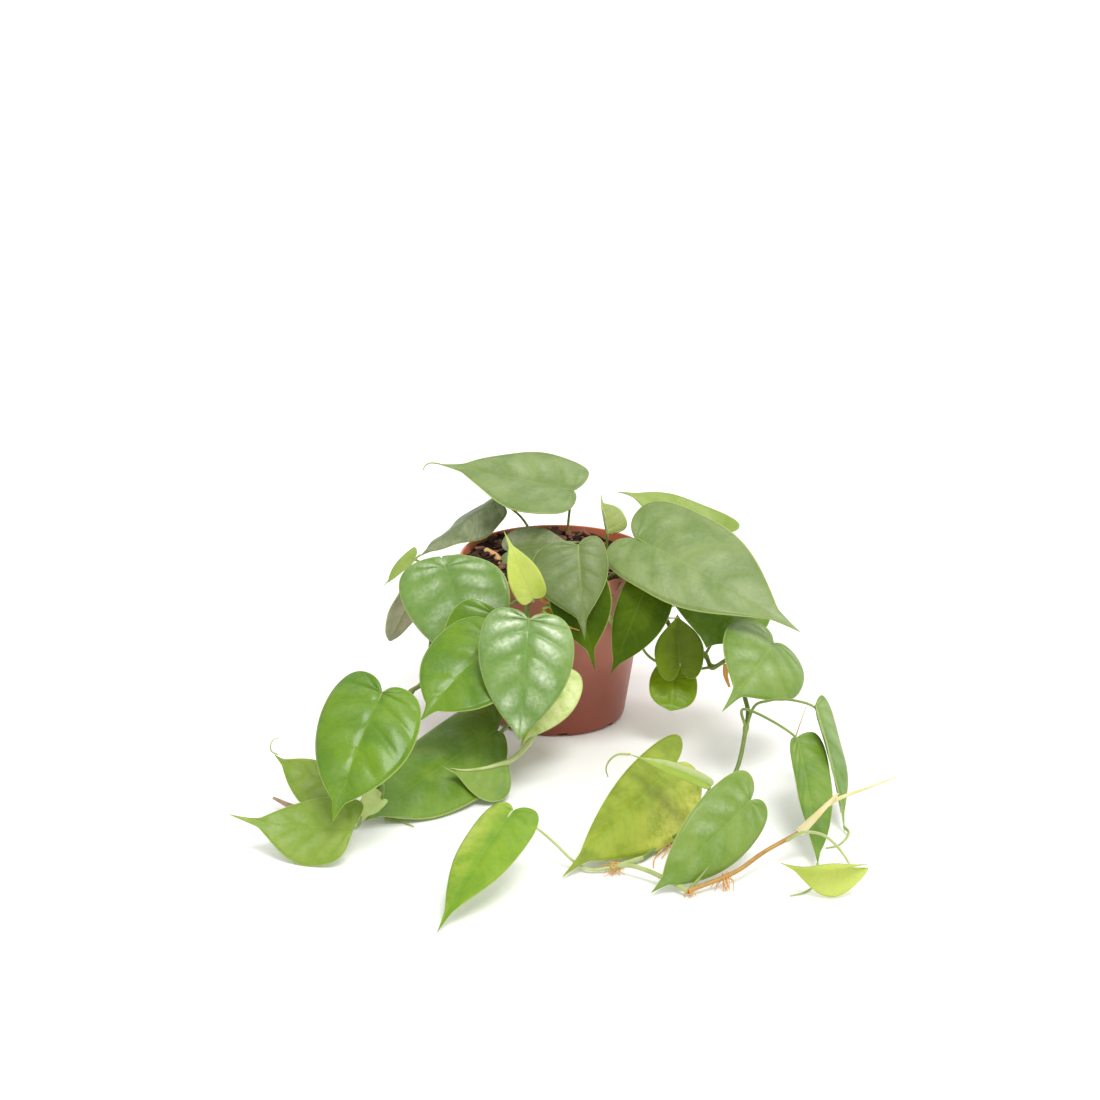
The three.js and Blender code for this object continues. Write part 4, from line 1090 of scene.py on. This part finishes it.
grow_leaf(
    "leaf_29", PATCHY, at=(-24.1, -236, 36.6), tip=(-63.6, -317, 1.6),
    face=(-0.1, -0.42, 0.9), stalk_skin=STALK_PALE, wide=35, bend=(6, 5), fold=6, dome=0.2, lobe=0.05,
    taper=0.5, lean=-0.11,
    stalk=[(31, -239, 3.2), (18.5, -240, 2.2), (10, -236, 5), (-1, -228, 12.8), (-12, -226, 22)],
)

# The leaves of the left stem. They run from the large one before the pot to the curled ones
# near the stem's end on the floor.
grow_leaf(
    "leaf_30", BRIGHT, at=(-98.9, -178, 83.6), tip=(-124.5, -234, 27.8),
    face=(-0.2, -0.85, 0.48), quilt=1.3, groove=0.7, wide=59, bend=(8, 6), fold=8, dome=0.26, lobe=0.1,
    taper=0.5, slant=-0.07, shoulder=0.84, belly=0.62,
    stalk=[(-86.7, -95, 50.8), (-90, -128, 58), (-95, -160, 73)],
)
grow_leaf(
    "leaf_31", SOFT, at=(-114, -222, 19.5), tip=(-183.5, -217, 25.5),
    face=(-0.05, -0.7, 0.7), quilt=0.7, wide=42, bend=(-6, -15), fold=6, dome=0.15, lobe=0.02, taper=1,
    lean=-0.1, slant=-0.08, stalk=[(-113, -170, 5), (-112, -198, 11)],
)
grow_leaf(
    "leaf_32", SOFT, at=(-123, -164, 18), tip=(-162, -168, 41), face=(0.1, -0.75, 0.6),
    wide=30, bend=(-7, -11), fold=6, dome=0.1, lobe=0.1, taper=0.6, lean=-0.25,
    stalk=[(-128, -168, 3), (-125, -165, 10)],
)
grow_leaf(
    "leaf_33", FADED, at=(-100.5, -164, 11.5), tip=(-114.5, -181.5, 4.5),
    face=(0.2, -0.8, 0.5), quilt=0.2, wave=0.2, wide=14, bend=(2, 1), fold=6, dome=0.1, lobe=0.1,
    taper=0.2, lean=0.4, stalk=[(-104, -150, 18), (-100, -164, 20)],
)

# Shoots and sheaths. A new shoot stands out of its pale papery sheath at the end of the right
# stem. Dried sheaths, thin brown skins, cling to older joints, and a cut stub of an old stem
# leans out of the bark. Each is a tapered tube along its own line.
SHOOT_STEPS = 8
SHEATH_CREAM = cloudy_material(
    "cream sheath", (0.8, 0.68, 0.34), (0.84, 0.74, 0.44), (0.5, 0.28, 0.1),
    scale=120, specks=0.5, bump=0.4, Roughness=0.55,
)
SHOOT_PALE = cloudy_material(
    "pale shoot", (0.66, 0.62, 0.28), (0.74, 0.7, 0.38), (0.5, 0.4, 0.15),
    scale=120, specks=0.2, bump=0.2, Roughness=0.45,
)
SHEATH_BROWN = cloudy_material(
    "tan sheath", (0.42, 0.27, 0.18), (0.56, 0.4, 0.29), (0.14, 0.08, 0.05),
    scale=120, specks=0.6, bump=0.6, Roughness=0.8,
)
SHEATH_ORANGE = cloudy_material(
    "orange sheath", (0.75, 0.33, 0.07), (0.82, 0.44, 0.13), (0.3, 0.1, 0.02),
    scale=160, specks=0.7, bump=0.6, Roughness=0.75,
)
STUB_SKIN = cloudy_material(
    "stub", (0.6, 0.6, 0.25), (0.78, 0.4, 0.15), (0.3, 0.15, 0.06),
    scale=70, specks=0.5, bump=0.4, Roughness=0.6,
)
SHOOTS = {
    "shoot_sheath": (
        SHEATH_CREAM, "leaf_young", (2.9, 0.7),
        [(136, -224.4, 18), (146.7, -225, 30.5), (156.7, -222, 40.5)],
    ),
    "young_shoot": (
        SHOOT_PALE, "leaf_young", (1.5, 0.4),
        [(149.6, -223.6, 33.6), (158, -218.5, 36), (175.8, -210, 39.1), (192, -200, 41)],
    ),
    "left_sheath": (
        SHEATH_BROWN, "dry_skin", (2.5, 0.9), [(-145, -163, 3.4), (-154, -159, 4.6), (-165, -154, 8)],
    ),
    "dry_sheath": (
        SHEATH_ORANGE, "dry_skin", (2.6, 0.8), [(104.4, -52, 52), (103.6, -54, 46), (106, -56, 38.5)],
    ),
    "old_stub": (
        STUB_SKIN, "leaf_young", (2.4, 2.1),
        [(-30, -8, 90), (-33, 1, 97), (-38, 9, 101), (-44, 15, 102.5)],
    ),
}
for name, (skin, slot, radii, points) in SHOOTS.items():
    path = smooth_path(points, SHOOT_STEPS)
    add_piece(name + "_skin", tube(name, path, tapered(path, *radii)), [skin], [name])

# Threads and hooks. Several blades end in a long drip tip that has dried to a curled thread, and
# thin dry twigs and strands hang among the leaves. They are fine tapered tubes, most of them
# under a millimetre thick at their ends.
THREAD_TAN = cloudy_material(
    "dry thread", (0.5, 0.4, 0.16), (0.62, 0.5, 0.24), (0.24, 0.13, 0.05),
    scale=150, specks=0.5, bump=0.3, Roughness=0.7,
)
THREAD_GREEN = cloudy_material(
    "green thread", (0.3, 0.42, 0.1), (0.42, 0.5, 0.16), (0.3, 0.2, 0.06),
    scale=150, specks=0.3, bump=0.2, Roughness=0.5,
)
THREADS = {
    "thread_over": (
        THREAD_GREEN, (0.6, 0.3),
        [(-73, 45, 150.2), (-79.5, 45, 150.7), (-82.7, 45, 148.8), (-84, 45, 146.1)],
    ),
    "hook_right": (
        THREAD_GREEN, (0.9, 0.35),
        [(165, -184, 3), (167, -191, 2.4), (164.3, -197, 0.9), (159, -205, 0.7), (152.5, -208, 0.7)],
    ),
    "hook_long": (
        THREAD_GREEN, (0.9, 0.35),
        [(145.2, -236, 4), (145.4, -245, 1), (141.4, -257.6, 0.8), (134.6, -266.4, 0.7),
         (127.2, -270.2, 0.7)],
    ),
    "hair_right": (
        THREAD_TAN, (0.45, 0.2), [(138.4, -150, 43.5), (141, -150, 52.6), (144.2, -150, 63.2)],
    ),
    "hook_young": (
        THREAD_GREEN, (0.8, 0.3),
        [(42, -184.2, 48.1), (34.4, -184, 47.7), (29.9, -184, 43.8), (28.2, -183, 38.5),
         (29.4, -182, 33.1)],
    ),
    "hook_left": (
        THREAD_GREEN, (0.55, 0.2),
        [(-160, -168, 41), (-163.5, -168, 43), (-164, -168, 47), (-162, -168, 50.5),
         (-157.5, -168, 51.5)],
    ),
    "spike": (THREAD_GREEN, (0.8, 0.3), [(84.5, 34, 124.5), (82, 35, 128.5), (80.2, 35, 131.6)]),
    "twig_upper": (THREAD_TAN, (0.7, 0.35), [(64, -56, 87), (69, -57, 90.6), (73.4, -58, 92.6)]),
    "twig_lower": (THREAD_TAN, (0.6, 0.35), [(64, -56, 84.6), (70, -56, 83.4), (75, -56, 84)]),
    "pot_strand": (
        THREAD_TAN, (0.75, 0.5),
        [(40, -45.8, 102.6), (33.4, -47.6, 93), (29.4, -50, 85.2), (34.6, -45, 77), (36.4, -42.6, 68)],
    ),
    "pot_curl": (
        THREAD_GREEN, (1, 0.4), [(28, -58, 86.8), (32.6, -59.5, 82.5), (36.3, -60, 74), (36.5, -59, 69)],
    ),
    "pot_curl_top": (THREAD_GREEN, (1.1, 0.5), [(27, -57, 86.2), (31, -59, 85.2), (35, -59, 86)]),
    "dry_curl": (
        SHEATH_ORANGE, (1.7, 0.3),
        [(-1.2, -75, 92.5), (2.2, -76.5, 88.3), (7.5, -78, 86), (14, -78, 83.6)],
    ),
    "dry_curl_end": (SHEATH_ORANGE, (1.5, 0.8), [(-9, -73, 104.5), (-7.5, -74, 101), (-4, -74.5, 99.5)]),
    "green_curl": (
        THREAD_GREEN, (0.9, 0.7),
        [(-7.9, -76, 96.6), (-5, -76, 98), (-2.5, -75.5, 96), (-0.5, -76, 91)],
    ),
    "green_curl_end": (
        THREAD_GREEN, (1, 0.5),
        [(-8, -76.5, 95.5), (-4.3, -76.5, 92.3), (-0.1, -77, 88.7), (2, -77, 86)],
    ),
    "floor_tip": (THREAD_GREEN, (1.1, 0.3), [(-99.2, -168.7, 1.4), (-90.6, -171, 1), (-81.9, -179, 0.8)]),
}
for name, (skin, radii, points) in THREADS.items():
    path = smooth_path(points, SHOOT_STEPS)
    add_piece(name, tube(name, path, tapered(path, *radii)), [skin])

# Floor, light and air. A white studio sweep in even white light, with a soft key light high in
# front and a weaker one high at the back on the right, whose faint shadows fall forward to the
# left. Lengths are metres; each light has its place, its strength and its spread in degrees.
FLOOR_SIZE = 40
FLOOR_WHITE = (0.99, 0.985, 0.97, 1)
FLOOR_ROUGHNESS = 0.9
FLOOR_SHINE = 0.1
SKY_WHITE = (1, 1, 1, 1)
SKY_STRENGTH = 0.82
LIGHTS = {
    "key light": ((0.25, -0.45, 1.0), 1.6, 25),
    "back light": ((0.75, 0.55, 1.0), 0.6, 60),
}
floor_shape = bmesh.new()
bmesh.ops.create_grid(floor_shape, x_segments=1, y_segments=1, size=FLOOR_SIZE / 2)
floor_mesh = bpy.data.meshes.new("floor")
floor_shape.to_mesh(floor_mesh)
floor_shape.free()
floor = bpy.data.objects.new("floor", floor_mesh)
bpy.context.scene.collection.objects.link(floor)
floor_paint = bpy.data.materials.new("white floor")
floor_paint.use_nodes = True
floor_shader = floor_paint.node_tree.nodes["Principled BSDF"]
floor_shader.inputs["Base Color"].default_value = FLOOR_WHITE
floor_shader.inputs["Roughness"].default_value = FLOOR_ROUGHNESS
floor_shader.inputs["Specular IOR Level"].default_value = FLOOR_SHINE
floor_mesh.materials.append(floor_paint)

sky = bpy.data.worlds.new("studio")
sky.use_nodes = True
background = sky.node_tree.nodes["Background"]
background.inputs["Color"].default_value = SKY_WHITE
background.inputs["Strength"].default_value = SKY_STRENGTH
bpy.context.scene.world = sky
for name, (place, strength, spread) in LIGHTS.items():
    light_data = bpy.data.lights.new(name, "SUN")
    light_data.energy = strength
    light_data.angle = math.radians(spread)
    light = bpy.data.objects.new(name, light_data)
    light.rotation_euler = (-Vector(place)).to_track_quat("-Z", "Y").to_euler()
    light.location = place
    bpy.context.scene.collection.objects.link(light)
bpy.context.scene.view_settings.view_transform = "Standard"
